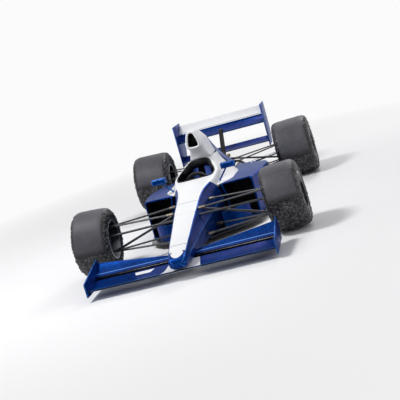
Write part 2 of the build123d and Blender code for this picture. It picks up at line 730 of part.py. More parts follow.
def front_flap():
    """The left flap, deep at the end plate and shallow at the nose, cut to fit the nose."""
    y, z = WING_Y + FRONT_WING_CHORD - 8, FRONT_WING_TAIL + WING_SLOT
    root = wing(50, y, z, FRONT_FLAP_ANGLE * 0.6, wing_profile(FRONT_FLAP_ROOT_CHORD, 3, 9, 4))
    tip = wing(FRONT_WING_SPAN / 2, y, z, FRONT_FLAP_ANGLE, wing_profile(FRONT_FLAP_TIP_CHORD, 10, 14, 4))
    return loft([root, tip]) - nose_cone()


def front_end_plate():
    y = FRONT_AXLE - FRONT_OVERHANG
    points = [(y, 42), (y, 160), (y + 470, 244), (y + 520, 138), (y + 470, 42)]
    low = FRONT_WING_SPAN / 2
    return plate(points, low, low + PLATE_THICKNESS)


def rear_wing_piece(y, z, angle, chord, sag, thickness):
    half = REAR_WING_SPAN / 2
    face = wing(-half, REAR_AXLE + y, z, angle, wing_profile(chord, sag, thickness))
    return extrude(face, amount=REAR_WING_SPAN, dir=(1, 0, 0))


def rear_main():
    return rear_wing_piece(REAR_WING_SETBACK, REAR_WING_HEIGHT, REAR_WING_ANGLE, REAR_WING_CHORD, 20, 24)


def rear_flap():
    tilt = radians(REAR_WING_ANGLE)
    y = REAR_WING_SETBACK + REAR_WING_CHORD * cos(tilt) - 10
    z = REAR_WING_HEIGHT + REAR_WING_CHORD * sin(tilt) + WING_SLOT + 4
    return rear_wing_piece(y, z, REAR_FLAP_ANGLE, REAR_FLAP_CHORD, 10, 12)


def beam_wing():
    return rear_wing_piece(REAR_WING_SETBACK - 20, BEAM_WING_HEIGHT, 14, BEAM_WING_CHORD, 12, 14)


def rear_end_plate():
    y, low = REAR_AXLE, REAR_WING_SPAN / 2
    points = [(y + 250, 396), (y + 250, 905), (y + REAR_OVERHANG, 905), (y + REAR_OVERHANG, 560),
              (y + 560, 396)]
    return plate(points, low, low + PLATE_THICKNESS)


def wing_pillar():
    """The central pillar from the gearbox to the rear wing, cut to fit both wings."""
    y, half = REAR_AXLE, PILLAR_WIDTH / 2
    foot, head = DRIVELINE_TOP - 8, REAR_WING_HEIGHT + 40
    shape = plate([(y - 40, foot), (y + 105, foot), (y + 420, head), (y + 310, head)], -half, half)
    shape = shape - rear_main() - beam_wing()
    return largest(shape) - gearbox()


def rear_light():
    y, z = TOW_EYE_AT
    back = REAR_AXLE + y + 30
    return box((-34, 34), (back + FIT, back + 30), (z - 30, z + 30))


def front_wishbones(side):
    tubes = ball_housing(front, side)
    for which, outer, inner in front_wishbone_lines():
        if which == side:
            tubes += oval_tube(outer, inner)
    return tubes - front.place * rod(
        (-KINGPIN_INSET, 0, -200), (-KINGPIN_INSET, 0, 200), KINGPIN_RADIUS + RUNNING
    )


def rear_wishbones():
    tubes = [oval_tube(outer, inner) for outer, inner in rear_lines()]
    return tubes


def write(name, shape):
    solids = shape.solids()
    export_step(Compound(list(solids)) if len(solids) > 1 else solids[0], f"parts/{name}.step")


def main():
    os.makedirs("parts", exist_ok=True)
    gear = gearbox()
    pillar = wing_pillar()
    low, high = front_pushrod_line()
    upper, lower = rear_wishbones()[:2], rear_wishbones()[2:]
    upright = rear_upright()
    pieces = {
        "nose_cone": nose_cone(),
        "monocoque": monocoque(),
        "headrest": headrest(),
        "seat": seat(),
        "harness": harness(),
        "airbox": airbox(),
        "engine_cover": engine_cover(),
        "engine": engine(),
        "gearbox": gear,
        "undertray": undertray(),
        "diffuser": diffuser(),
        "sidepod_left": sidepod(),
        "sidepod_right": mirror(sidepod(), about=Plane.YZ),
        "radiators": both(radiator()),
        "bargeboards": both(bargeboard()),
        "mirrors": both(mirror_unit() - tub_body()),
        "front_wing": front_wing(),
        "front_flaps": both(front_flap()),
        "front_end_plates": both(front_end_plate()),
        "front_upper_wishbones": both(front_wishbones(1)),
        "front_lower_wishbones": both(front_wishbones(-1)),
        "front_pushrods": both(largest(rod(low, high, PUSHROD_RADIUS) - front_wishbones(-1))),
        "rear_upper_wishbones": both(sum(upper[1:], upper[0]) - upright),
        "rear_lower_wishbones": both(sum(lower[1:], lower[0]) - upright),
        "rear_pushrods": both(
            largest(rod(*rear_pushrod_line(), PUSHROD_RADIUS) - upright - gear - sum(lower[1:], lower[0]))
        ),
        "rear_uprights": both(upright),
        "driveshafts": both(rod(*shaft_line(), 16) - upright),
        "exhausts": both(exhaust()),
        "rear_wing": rear_main(),
        "rear_flap": rear_flap(),
        "beam_wing": beam_wing(),
        "rear_end_plates": both(rear_end_plate()),
        "rear_wing_pillar": pillar,
        "rear_light": rear_light(),
        "steering_wheel": steering_wheel(),
        "steering_rack": steering_rack(),
    }
    for side, turn in (("left", lambda s: s), ("right", lambda s: mirror(s, about=Plane.YZ))):
        pieces[f"front_upright_{side}"] = turn(front_upright())
        for end, corner in (("front", front), ("rear", rear)):
            pieces[f"{end}_tyre_{side}"] = turn(corner.tyre())
            pieces[f"{end}_rim_{side}"] = turn(corner.rim())
            pieces[f"{end}_brake_disc_{side}"] = turn(corner.brake())
    for name, shape in pieces.items():
        write(name, shape)


main()
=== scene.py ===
"""An open wheel racing car: painted shells, tyres, belts and trim over its solid frame.

Everything is in metres in the frame of the solids: +X is the car's left, -Y its front, +Z up.
Stations along the body are given behind the front axle, as the solids give them.
"""

import json
import logging
import math
from dataclasses import dataclass
from enum import Enum

import bmesh
import bpy
import numpy as np
from mathutils import Matrix, Vector
from mathutils.bvhtree import BVHTree


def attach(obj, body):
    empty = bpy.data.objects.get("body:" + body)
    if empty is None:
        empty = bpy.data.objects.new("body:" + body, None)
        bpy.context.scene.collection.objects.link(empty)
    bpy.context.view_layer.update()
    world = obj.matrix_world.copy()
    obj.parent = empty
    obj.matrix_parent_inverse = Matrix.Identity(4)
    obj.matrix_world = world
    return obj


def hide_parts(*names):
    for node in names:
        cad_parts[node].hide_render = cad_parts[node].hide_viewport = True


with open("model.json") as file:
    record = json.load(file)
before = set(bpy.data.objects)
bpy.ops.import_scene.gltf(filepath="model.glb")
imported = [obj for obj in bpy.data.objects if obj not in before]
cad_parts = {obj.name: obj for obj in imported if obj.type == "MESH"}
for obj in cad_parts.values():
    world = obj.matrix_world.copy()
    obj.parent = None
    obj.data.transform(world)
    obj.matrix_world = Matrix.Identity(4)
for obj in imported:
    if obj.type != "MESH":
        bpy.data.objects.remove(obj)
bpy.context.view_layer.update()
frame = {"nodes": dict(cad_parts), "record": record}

log = logging.getLogger("racing_car")

FRONT_AXLE = -1.26
REAR_AXLE = 1.46
TUB_REAR = 1.65
WING_FRONT = FRONT_AXLE - 0.878
WING_SLOT = WING_FRONT + 0.282
REAR_WING_FRONT = REAR_AXLE + 0.29
WHEEL_SIZES = {  # track, axle, radius, width and camber in degrees
    "front": (1.76, FRONT_AXLE, 0.298, 0.340, 3.5), "rear": (1.72, REAR_AXLE, 0.334, 0.430, 2.0),
}
EDGE_ANGLE = 32.0  # solids' edges sharper than this many degrees are bevelled and crisp
INSIDE = 20.0  # added to the along coordinate on a wall's inner face
CHASSIS = "chassis"
SIDES = (("left", 1.0), ("right", -1.0))
NODE_BODY = {node: body for body, nodes in frame["record"]["behaviour"]["bodies"].items() for node in nodes}
SEEN_RAYS = ("Is Camera Ray", "Is Glossy Ray", "Is Transmission Ray")
Array = np.ndarray


# ---------------------------------------------------------------- shader sums


class Value:
    """A number on its way through a material: an expression on it adds the nodes that work it out."""

    def __init__(self, bench: "Bench", socket: bpy.types.NodeSocket) -> None:
        """Keeps the bench that holds the nodes and the socket that carries the number."""
        self.bench = bench
        self.socket = socket

    def sum_node(self, operation: str, first: object, second: object = 0.0, clamp: bool = False) -> "Value":
        """Adds one Math node.

        Args:
            operation: the node's operation.
            first: its first value or link.
            second: its second value or link.
            clamp: keeps the result between 0 and 1.

        Returns:
            The node's result.
        """
        settings = {"operation": operation, "use_clamp": clamp}
        node = self.bench.node("ShaderNodeMath", settings, {0: first, 1: second})
        return Value(self.bench, node.outputs[0])

    def __add__(self, other: object) -> "Value":
        """The sum."""
        return self.sum_node("ADD", self, other)

    __radd__ = __add__

    def __sub__(self, other: object) -> "Value":
        """The difference."""
        return self.sum_node("SUBTRACT", self, other)

    def __rsub__(self, other: object) -> "Value":
        """The difference, the other way round."""
        return self.sum_node("SUBTRACT", other, self)

    def __mul__(self, other: object) -> "Value":
        """The product."""
        return self.sum_node("MULTIPLY", self, other)

    __rmul__ = __mul__

    def __truediv__(self, other: object) -> "Value":
        """The quotient."""
        return self.sum_node("DIVIDE", self, other)

    def __pow__(self, other: float) -> "Value":
        """The power."""
        return self.sum_node("POWER", self, other)

    def size(self) -> "Value":
        """The value without its sign."""
        return self.sum_node("ABSOLUTE", self)

    def root(self) -> "Value":
        """The square root."""
        return self.sum_node("SQRT", self)

    def wave(self) -> "Value":
        """The sine."""
        return self.sum_node("SINE", self)

    def larger(self, other: object) -> "Value":
        """The larger of two values."""
        return self.sum_node("MAXIMUM", self, other)

    def above(self, edge: object, soft: float = 0.001) -> "Value":
        """1 where the value is above an edge, 0 below it, with a ramp of width soft between."""
        return self.sum_node("MULTIPLY", (self - edge) + soft / 2, 1 / soft, clamp=True)

    def below(self, edge: object, soft: float = 0.001) -> "Value":
        """1 where the value is below an edge, with a ramp of width soft between."""
        return 1 - self.above(edge, soft)


class Bench:
    """The nodes of one material, made through one method."""

    def __init__(self, name: str, tree: bpy.types.NodeTree | None = None) -> None:
        """Starts an empty material, or clears the nodes of a given tree.

        Args:
            name: the material's name.
            tree: another tree to work in, such as the sky's.
        """
        self.material = None
        if tree is None:
            self.material = bpy.data.materials.new(name)
            self.material.use_nodes = True
            tree = self.material.node_tree
        self.tree = tree
        self.tree.nodes.clear()
        self.place = None

    def node(self, kind: str, settings: dict | None = None, inputs: dict | None = None) -> bpy.types.Node:
        """Adds one node.

        Args:
            kind: the node's type.
            settings: the node's own settings, set first.
            inputs: what goes into its sockets, by name or number: a number, a colour, a socket or a Value.

        Returns:
            The new node.
        """
        node = self.tree.nodes.new(kind)
        for key, setting in (settings or {}).items():
            setattr(node, key, setting)
        for key, item in (inputs or {}).items():
            item = item.socket if isinstance(item, Value) else item
            if isinstance(item, bpy.types.NodeSocket):
                self.tree.links.new(item, node.inputs[key])
            else:
                node.inputs[key].default_value = item
        return node

    def spot(self) -> bpy.types.NodeSocket:
        """The place on the object, as a vector."""
        if self.place is None:
            self.place = self.node("ShaderNodeTexCoord").outputs["Object"]
        return self.place

    def split(self, vector: bpy.types.NodeSocket) -> tuple[Value, Value, Value]:
        """The three numbers of a vector."""
        node = self.node("ShaderNodeSeparateXYZ", {}, {0: vector})
        return tuple(Value(self, socket) for socket in node.outputs)

    def strip(self) -> tuple[Value, Value]:
        """The piece's own two surface coordinates: across and along."""
        return self.split(self.node("ShaderNodeUVMap", {"uv_map": "surface"}).outputs[0])[:2]

    def noise(self, scale: float, detail: float = 3.0, rough: float = 0.55) -> Value:
        """Soft cloudy noise about 0.5."""
        inputs = {"Vector": self.spot(), "Scale": scale, "Detail": detail, "Roughness": rough}
        return Value(self, self.node("ShaderNodeTexNoise", {}, inputs).outputs[0])

    def cells(self, scale: float) -> Value:
        """Distance to the nearest point in a field of scattered points."""
        node = self.node("ShaderNodeTexVoronoi", {"feature": "F1"}, {"Vector": self.spot(), "Scale": scale})
        return Value(self, node.outputs["Distance"])

    def seen(self) -> Value:
        """1 for rays from the camera, off gloss and through glass, 0 for all others."""
        path = self.node("ShaderNodeLightPath")
        camera, gloss, glass = (Value(self, path.outputs[name]) for name in SEEN_RAYS)
        return camera.larger(gloss).larger(glass)

    def mix(self, share: object, low: object, high: object) -> bpy.types.NodeSocket:
        """A colour between two colours."""
        return self.node("ShaderNodeMix", {"data_type": "RGBA"}, {0: share, 6: low, 7: high}).outputs[2]

    def bump(self, height: object, distance: float, strength: float = 1.0) -> bpy.types.NodeSocket:
        """The normal of a surface raised by a height between 0 and 1 times a distance in metres."""
        inputs = {"Height": height, "Distance": distance, "Strength": strength}
        return self.node("ShaderNodeBump", {}, inputs).outputs[0]

    def finish(self, inputs: dict) -> bpy.types.Material:
        """Ends the material with one surface shader.

        Args:
            inputs: what goes into the shader's sockets.

        Returns:
            The material.
        """
        shader = self.node("ShaderNodeBsdfPrincipled", {}, inputs)
        self.node("ShaderNodeOutputMaterial", {}, {"Surface": shader.outputs[0]})
        return self.material


def tint(code: str) -> tuple[float, float, float, float]:
    """A colour from its six hexadecimal digits, made linear."""
    parts = [int(code[i : i + 2], 16) / 255 for i in (0, 2, 4)]
    linear = [p / 12.92 if p <= 0.04045 else ((p + 0.055) / 1.055) ** 2.4 for p in parts]
    return (*linear, 1.0)


# ---------------------------------------------------------------- finishes

# the third blue is a painted highlight, laid along edges and lips
BLUE, DEEP_BLUE, HIGHLIGHT_BLUE = tint("00479f"), tint("001a55"), tint("4a86dc")
WHITE, PALE_GREY = tint("f2f2f3"), tint("e6e7ea")
STUDIO_WHITE = tint("fbfbfc")
# the last black is a painted shade, laid over the blue in blotches
LINE_BLACK, HOLLOW_BLACK, PAINTED_SHADE_BLACK = tint("0b0b0d"), tint("0e0e10"), tint("010512")
# the two band colours are a painted highlight and a painted shade on the wings
PAINTED_HIGHLIGHT_BAND = "6ea6f0"
PAINTED_SHADE_BAND = "08080a"
EDGE = 0.002  # the usual ramp of a painted edge
TOP_FACE = (2.5, 3.5)  # where a body shell's top lies across, counted in corners
STRIP_FRONT = -0.79  # the nose's white strip: its front, its round end's half length and half width
STRIP_ROUND = (0.085, 0.056)
FLANK_FOOT, FLANK_HEAD = 0.425, 0.545  # the tub's white flank: its heights and its ends
FLANK_FRONT, FLANK_REAR = 0.50, 1.36
ROOT_HALF = 0.180  # the front wing's white root: half its width
WING_PATCH = (0.180, 0.238)  # and its white patch, behind the leading edge


class Scheme(Enum):
    """Where a painted shell is white."""

    NONE = "blue all over"
    ALL = "white all over"
    NOSE = "white strip on top with a round front end"
    TUB = "white top, and white flanks beside the cockpit"
    WING = "white beside the nose and on a slanted patch"


@dataclass(frozen=True)
class Paint:
    """Two-coat gloss paint on a shell, blue and white by a scheme."""

    name: str
    scheme: Scheme = Scheme.NONE
    hollow: bool = False
    roughness: float = 0.30
    seams: tuple[float, ...] = ()
    # lip: the along place up to which the front gets a painted highlight, 0 for none
    lip: float = 0.0
    # bands across the car: the dark ones painted shade, the light ones painted highlight
    bands: tuple[tuple[float, float, str], ...] = ()
    painted_shade: float = 0.35  # strength of the painted shade: dark blotches over the blue

    def white(self, bench: Bench) -> object:
        """The share of white.

        Args:
            bench: the material's nodes.

        Returns:
            A number or a Value from 0, blue, to 1, white.
        """
        x, y, z = bench.split(bench.spot())
        if self.scheme is Scheme.NONE:
            return 0.0
        if self.scheme is Scheme.ALL:
            return 1.0
        if self.scheme is Scheme.WING:
            lag = y - WING_FRONT
            root = x.size().below(ROOT_HALF - 0.05 * (lag / 0.29) ** 0.6, EDGE)
            patch = (x + 0.30 * lag).above(-0.359, EDGE) * (x - 0.50 * lag).below(-0.378, EDGE)
            return root.larger(patch * lag.above(WING_PATCH[0]) * lag.below(WING_PATCH[1]))
        across, along = bench.strip()
        top = across.above(TOP_FACE[0], 0.02) * across.below(TOP_FACE[1], 0.02)
        if self.scheme is Scheme.NOSE:
            reach, wide = (along - STRIP_FRONT) / STRIP_ROUND[0], x / STRIP_ROUND[1]
            round_end = (reach * reach + wide * wide).below(1.0, 0.03)
            return top * along.above(STRIP_FRONT, EDGE).larger(round_end)
        front = along.above(FLANK_FRONT + 1.1 * (FLANK_HEAD - z), 0.003)
        back = along.below(FLANK_REAR + 1.25 * (z - 0.45), 0.003)
        flank = front * back * z.above(FLANK_FOOT, EDGE)
        return (top * along.below(1.0, EDGE).larger(back)).larger(flank)

    def make(self) -> bpy.types.Material:
        """The paint's material, with painted highlights on edges and lips, dark blotches of painted shade and
        bands of painted shade and highlight.
        """
        bench = Bench(self.name)
        white = self.white(bench)
        cloud = bench.noise(4.5, 5.0)
        across, along = bench.strip()
        _, y, _ = bench.split(bench.spot())
        # a painted highlight along each rounded corner of a shell and each marked bevel of a solid
        ridge_highlight = ((across - 0.25) * (2 * math.pi)).wave().above(0.86, 0.16)
        blue = bench.mix(cloud * 1.2 - 0.1, DEEP_BLUE, BLUE)
        blue = bench.mix(ridge_highlight * (bench.noise(9.0, 2.0) * 1.3 - 0.1), blue, HIGHLIGHT_BLUE)
        # dark blotches over the blue: painted shade
        blue = bench.mix(bench.noise(38.0, 3.0).above(0.50, 0.14) * self.painted_shade, blue, PAINTED_SHADE_BLACK)
        # a painted highlight on the front of the lip
        if self.lip:
            blue = bench.mix(along.below(self.lip, 0.03) * 0.55, blue, HIGHLIGHT_BLUE)
        colour = bench.mix(white, blue, bench.mix(cloud, PALE_GREY, WHITE))
        cut = 0.0
        for place in self.seams:
            line = (along - place).size().below(0.0025, EDGE)
            cut = line + cut
            colour = bench.mix(line * 0.85, colour, LINE_BLACK)
        # bands of painted shade and painted highlight
        for low, high, shade in self.bands:
            colour = bench.mix(y.above(low, EDGE) * y.below(high, EDGE), colour, tint(shade))
        if self.hollow:
            colour = bench.mix(along.above(INSIDE / 2), colour, HOLLOW_BLACK)
        dust = bench.noise(60.0, 5.0, 0.7)
        hammered = bench.noise(34.0, 2.0, 0.5) * (1 - white * 0.8)
        grain = bench.bump(hammered + bench.noise(300.0, 1.0) * 0.04 - cut, 0.0022, 0.55)
        return bench.finish({
            "Base Color": colour,
            "Metallic": 0.4 - white * 0.4,
            "Roughness": self.roughness + 0.12 * (dust - 0.5),
            "Specular IOR Level": 0.12,
            "Specular Tint": tint("5a8fd8"),
            "Coat Weight": 0.03,
            "Coat Roughness": 0.08,
            "Normal": grain,
        })


@dataclass(frozen=True)
class Metal:
    """Bare, cast or painted metal with a little wear."""

    name: str
    dark: str
    light: str
    roughness: float = 0.4
    metallic: float = 1.0
    scale: float = 40.0
    grain: float = 0.0006

    def make(self) -> bpy.types.Material:
        """The metal's material."""
        bench = Bench(self.name)
        cloud = bench.noise(self.scale, 6.0, 0.65)
        spread = bench.noise(self.scale * 0.2, 2.0)
        share = (cloud * 0.6 + spread * 0.6 - 0.25).above(0.3, 0.5)
        return bench.finish({
            "Base Color": bench.mix(share, tint(self.dark), tint(self.light)),
            "Metallic": self.metallic,
            "Roughness": self.roughness + 0.25 * (cloud - 0.5),
            "Normal": bench.bump(cloud, self.grain, 0.5),
        })


@dataclass(frozen=True)
class Weave:
    """A woven skin: dark composite cloth under resin, or webbing."""

    name: str
    dark: str
    light: str
    pitch: float = 0.006
    roughness: float = 0.35
    coat: float = 0.3

    def make(self) -> bpy.types.Material:
        """The weave's material: two crossed sine waves make the squares of the cloth."""
        bench = Bench(self.name)
        x, y, z = bench.split(bench.spot())
        turn = 2 * math.pi / self.pitch
        squares = ((x + z) * turn).wave() * ((y + 0.37 * z) * turn).wave()
        share = squares.above(0.0, 0.6)
        cloud = bench.noise(14.0, 4.0)
        return bench.finish({
            "Base Color": bench.mix(share * 0.6 + cloud * 0.4, tint(self.dark), tint(self.light)),
            "Roughness": self.roughness + 0.15 * (share - 0.5),
            "Coat Weight": self.coat,
            "Coat Roughness": 0.15,
            "Normal": bench.bump(share, 0.0003, 0.4),
        })


@dataclass(frozen=True)
class Soft:
    """Rubber, leather, foam or plastic with a fine grain."""

    name: str
    dark: str
    light: str
    roughness: float = 0.6
    scale: float = 180.0
    depth: float = 0.0006

    def make(self) -> bpy.types.Material:
        """The soft finish's material."""
        bench = Bench(self.name)
        pores = bench.cells(self.scale)
        cloud = bench.noise(9.0, 4.0)
        return bench.finish({
            "Base Color": bench.mix(cloud, tint(self.dark), tint(self.light)),
            "Roughness": self.roughness + 0.2 * (cloud - 0.5),
            "Specular IOR Level": 0.25,
            "Normal": bench.bump(pores, self.depth, 0.6),
        })


@dataclass(frozen=True)
class Tread:
    """Slick tyre rubber: worn and scuffed on the tread, darker where pebbles of rubber cling, with painted
    shade between the pebbles and painted highlights on their tops.
    """

    name: str

    def make(self) -> bpy.types.Material:
        """The tyre's material. Its surface coordinates hold the place across and the share of pebbles."""
        bench = Bench(self.name)
        across, pebbles = bench.strip()
        tread = across.above(0.23, 0.05) * across.below(0.77, 0.05)
        streak = bench.noise(26.0, 6.0, 0.7)
        soft = bench.noise(5.0, 3.0)
        worn = (streak * 0.55 + soft * 0.6 - 0.1).above(0.35, 0.5)
        grey = bench.mix(worn, tint("2a2a2e"), tint("4d4d53"))
        wall = bench.mix(streak, tint("111114"), tint("232327"))
        base = bench.mix(tread, wall, grey)
        rings = ((across * 150.0).wave() * (1 - tread)).above(0.2, 0.8)
        clinging = pebbles.above(0.3, 0.6)
        # light specks on the pebbles' tops: a painted highlight
        speck_highlight = pebbles.above(0.80, 0.26) * (bench.noise(24.0, 2.0) * 1.6 - 0.25)
        # pebbles darkest low in their gaps: painted shade
        pebble = bench.mix(pebbles.above(0.6, 0.4), tint("010102"), tint("151517"))
        colour = bench.mix(clinging, base, bench.mix(speck_highlight, pebble, tint("5c5c62")))
        fine = bench.noise(240.0, 4.0, 0.7) * 0.6 + rings * 0.4
        return bench.finish({
            "Base Color": colour,
            "Roughness": 0.54 - 0.28 * clinging + 0.25 * (streak - 0.5),
            "Specular IOR Level": 0.35,
            "Normal": bench.bump(fine, 0.0012, 0.6),
        })


@dataclass(frozen=True)
class Rim:
    """Dark painted wheel metal with a bright turned lip."""

    name: str
    axle_y: float
    axle_z: float
    lip: float = 0.163
    rings: float = 2600.0  # radians a metre

    def make(self) -> bpy.types.Material:
        """The rim's material: bright where the distance from the axle is above the lip's."""
        bench = Bench(self.name)
        _, y, z = bench.split(bench.spot())
        out_y, out_z = y - self.axle_y, z - self.axle_z
        reach = (out_y * out_y + out_z * out_z).root()
        bright = reach.above(self.lip, 0.004)
        cloud = bench.noise(50.0, 5.0)
        dark = bench.mix(cloud, tint("0c0d10"), tint("202226"))
        return bench.finish({
            "Base Color": bench.mix(bright, dark, tint("a6a8ad")),
            "Metallic": 0.85,
            "Roughness": 0.38 + 0.2 * (cloud - 0.5),
            "Normal": bench.bump((reach * self.rings).wave(), 0.0002, 0.3),
        })


@dataclass(frozen=True)
class Core:
    """A radiator core of fine upright fins."""

    name: str
    fins: float = 1500.0  # radians a metre
    tubes: float = 420.0

    def make(self) -> bpy.types.Material:
        """The core's material: fins are a sine wave across, tubes a coarser one up."""
        bench = Bench(self.name)
        x, _, z = bench.split(bench.spot())
        fins = (x * self.fins).wave() * 0.5 + 0.5
        tubes = (z * self.tubes).wave().above(0.75, 0.2)
        # raised fins and tubes are lighter, the hollows between them darker: painted shade
        raised = fins.larger(tubes)
        return bench.finish({
            "Base Color": bench.mix(raised, tint("101113"), tint("4b4d51")),
            "Metallic": 0.6,
            "Roughness": 0.5,
            "Normal": bench.bump(raised, 0.002, 1.0),
        })


@dataclass(frozen=True)
class Shine:
    """Plain glass, lens or mirror silver."""

    name: str
    colour: str
    roughness: float
    metallic: float
    glow: float = 0.0

    def make(self) -> bpy.types.Material:
        """The shine's material, with faint smears in its roughness."""
        bench = Bench(self.name)
        smear = bench.noise(30.0, 3.0)
        return bench.finish({
            "Base Color": tint(self.colour),
            "Metallic": self.metallic,
            "Roughness": self.roughness + 0.05 * smear,
            "Emission Color": tint(self.colour),
            "Emission Strength": self.glow,
        })


class Shelf:
    """The finishes used on the car, each made once."""

    def __init__(self) -> None:
        """Starts an empty shelf."""
        self.made: dict[object, bpy.types.Material] = {}

    def take(self, finish: object) -> bpy.types.Material:
        """The material of a finish, made the first time it is asked for."""
        if finish not in self.made:
            self.made[finish] = finish.make()
        return self.made[finish]


SHELF = Shelf()
BLUE_PAINT = Paint("blue_paint")
SHELL_PAINT = Paint("shell_paint", hollow=True)
# the pod's lip band is a painted highlight
POD_PAINT = Paint("pod_paint", hollow=True, lip=0.665)
PLATE_PAINT = Paint("plate_paint", painted_shade=0.5)
WHITE_PAINT = Paint("white_paint", Scheme.ALL)
FLAP_PAINT = Paint("rear_flap_paint", Scheme.ALL)
CARBON = Weave("composite_cloth", "0c0d0f", "26282c")
WEBBING = Weave("belt_webbing", "16307c", "2c56b4", 0.003, 0.75, 0.0)
TUBE_PAINT = Metal("tube_paint", "1d1e22", "3c3e44", 0.34, 0.35, 30.0, 0.0004)
CASTING = Metal("cast_alloy", "2a2c30", "74777d", 0.48, 0.9, 60.0, 0.0016)
STEEL = Metal("machined_steel", "7b7e84", "b9bcc2", 0.28, 1.0, 80.0, 0.0002)
IRON = Metal("brake_iron", "3a3532", "6f6a66", 0.42, 0.9, 90.0, 0.0004)
FITTING = Metal("turned_fitting", "4c463c", "a39a87", 0.38, 0.85, 70.0, 0.0004)
STUD = Metal("stud_metal", "2b3038", "5c626c", 0.4, 0.8, 90.0, 0.0002)
SPRING = Metal("spring_bronze", "33281c", "7d6a4c", 0.32, 1.0, 60.0, 0.0003)
HEATED = Metal("heated_steel", "3b2f2a", "8f7b66", 0.36, 1.0, 14.0, 0.0003)
DUCT_BLACK = Soft("duct_black", "0b0b0c", "17181a", 0.7, 120.0, 0.0004)
SEAT_LEATHER = Soft("seat_leather", "1a1b1e", "2b2d31", 0.55, 260.0, 0.0005)
COLLAR_FOAM = Soft("collar_foam", "08080a", "151619", 0.6, 300.0, 0.0004)
GRIP = Soft("grip_rubber", "141416", "232326", 0.65, 420.0, 0.0005)
SEAL = Soft("seal_rubber", "0a0a0b", "141416", 0.5, 300.0, 0.0003)
HOSE = Soft("coolant_hose", "1b1c1f", "2d2f33", 0.45, 500.0, 0.0003)
CORE = Core("radiator_core")
GLASS = Shine("mirror_silver", "c9ced6", 0.03, 1.0)
LENS = Shine("tail_lens", "b51216", 0.12, 0.0, 0.25)


# ---------------------------------------------------------------- surfaces


def unit(vectors: Array) -> Array:
    """The vectors, each made one long."""
    return vectors / np.linalg.norm(vectors, axis=-1, keepdims=True)


def travelled(points: Array) -> Array:
    """The way along a line of points up to each of them."""
    return np.concatenate([[0], np.cumsum(np.linalg.norm(np.diff(points, axis=0), axis=1))])


def full_turn(count: int) -> Array:
    """Even angles round a full turn."""
    return np.linspace(0, 2 * np.pi, count, endpoint=False)


def sections(outlines: Array, ys: Array, sign: float = 1.0) -> Array:
    """Outlines of (x, z) points set at their stations along the car, mirrored where sign is -1."""
    across, up = outlines[..., 0], outlines[..., 1]
    return np.stack([sign * across, np.broadcast_to(ys, across.shape), up], -1)


def flowing(at: Array, rows: Array, wanted: Array) -> Array:
    """Carries station values smoothly to other stations.

    Between two stations each value follows the cubic that leaves and arrives with the mean slope of
    the neighbouring spans, so the surface has no kink at a station.

    Args:
        at: the stations, rising.
        rows: their values, one row a station.
        wanted: the stations to work out.

    Returns:
        The values at the wanted stations, one row each.
    """
    at, rows, wanted = (np.asarray(a, float) for a in (at, rows, wanted))
    flat = rows.reshape(len(at), -1)
    span = np.diff(at)[:, None]
    slope = np.diff(flat, axis=0) / span
    inner = (slope[:-1] * span[1:] + slope[1:] * span[:-1]) / (span[1:] + span[:-1])
    ends = np.vstack([slope[:1], inner, slope[-1:]])
    index = np.clip(np.searchsorted(at, wanted) - 1, 0, len(at) - 2)
    width = span[index]
    t = ((wanted - at[index]) / width[:, 0])[:, None]
    inside = np.clip(t, 0, 1)
    value = (
        (2 * inside**3 - 3 * inside**2 + 1) * flat[index]
        + (inside**3 - 2 * inside**2 + inside) * width * ends[index]
        + (3 * inside**2 - 2 * inside**3) * flat[index + 1]
        + (inside**3 - inside**2) * width * ends[index + 1]
    )
    edge = np.where(t < 0, ends[:1], ends[-1:])
    value = value + (t - inside) * width * edge
    return value.reshape(len(wanted), *rows.shape[1:])


def inset(corners: Array, amount: Array) -> Array:
    """Moves every side of many outlines inwards by a distance.

    A corner moves along the sum of its two sides' inward normals, over 1 plus their dot product.

    Args:
        corners: outlines as (rows, corners, 2), each running the same way round.
        amount: the distance for each row.

    Returns:
        The moved corners.
    """
    forward = np.roll(corners, -1, axis=1) - corners
    forward /= np.maximum(np.linalg.norm(forward, axis=2, keepdims=True), 1e-9)
    backward = np.roll(forward, 1, axis=1)
    normal_f = np.stack([-forward[..., 1], forward[..., 0]], -1)
    normal_b = np.stack([-backward[..., 1], backward[..., 0]], -1)
    scale = 1 + np.sum(normal_f * normal_b, axis=2, keepdims=True)
    return corners + (normal_f + normal_b) / np.maximum(scale, 0.3) * np.asarray(amount)[:, None, None]


def rounded(corners: Array, radius: Array, steps: int) -> tuple[Array, Array]:
    """Rounds every corner of many outlines at once.

    At parameter t a corner's arc lies at (1-t)^2 of its start, 2t(1-t) of the corner and t^2 of its end.

    Args:
        corners: outlines as (rows, corners, 2).
        radius: how far from each corner the arc starts, (rows,) or (rows, corners).
        steps: points on each arc.

    Returns:
        The points as (rows, corners * steps, 2), and the place of each point counted in corners.
    """
    radius = np.broadcast_to(np.asarray(radius, float).reshape(len(corners), -1), corners.shape[:2])
    back = np.roll(corners, 1, axis=1) - corners
    ahead = np.roll(corners, -1, axis=1) - corners
    share_b = np.minimum(radius / np.maximum(np.linalg.norm(back, axis=2), 1e-9), 0.49)
    share_a = np.minimum(radius / np.maximum(np.linalg.norm(ahead, axis=2), 1e-9), 0.49)
    start = corners + back * share_b[..., None]
    end = corners + ahead * share_a[..., None]
    t = np.linspace(0, 1, steps)[None, None, :, None]
    start, middle, end = start[:, :, None], corners[:, :, None], end[:, :, None]
    points = (1 - t) ** 2 * start + 2 * t * (1 - t) * middle + t**2 * end
    count = corners.shape[1]
    places = (np.arange(count)[:, None] + 0.15 + 0.7 * np.linspace(0, 1, steps)[None]).ravel()
    return points.reshape(len(corners), count * steps, 2), places


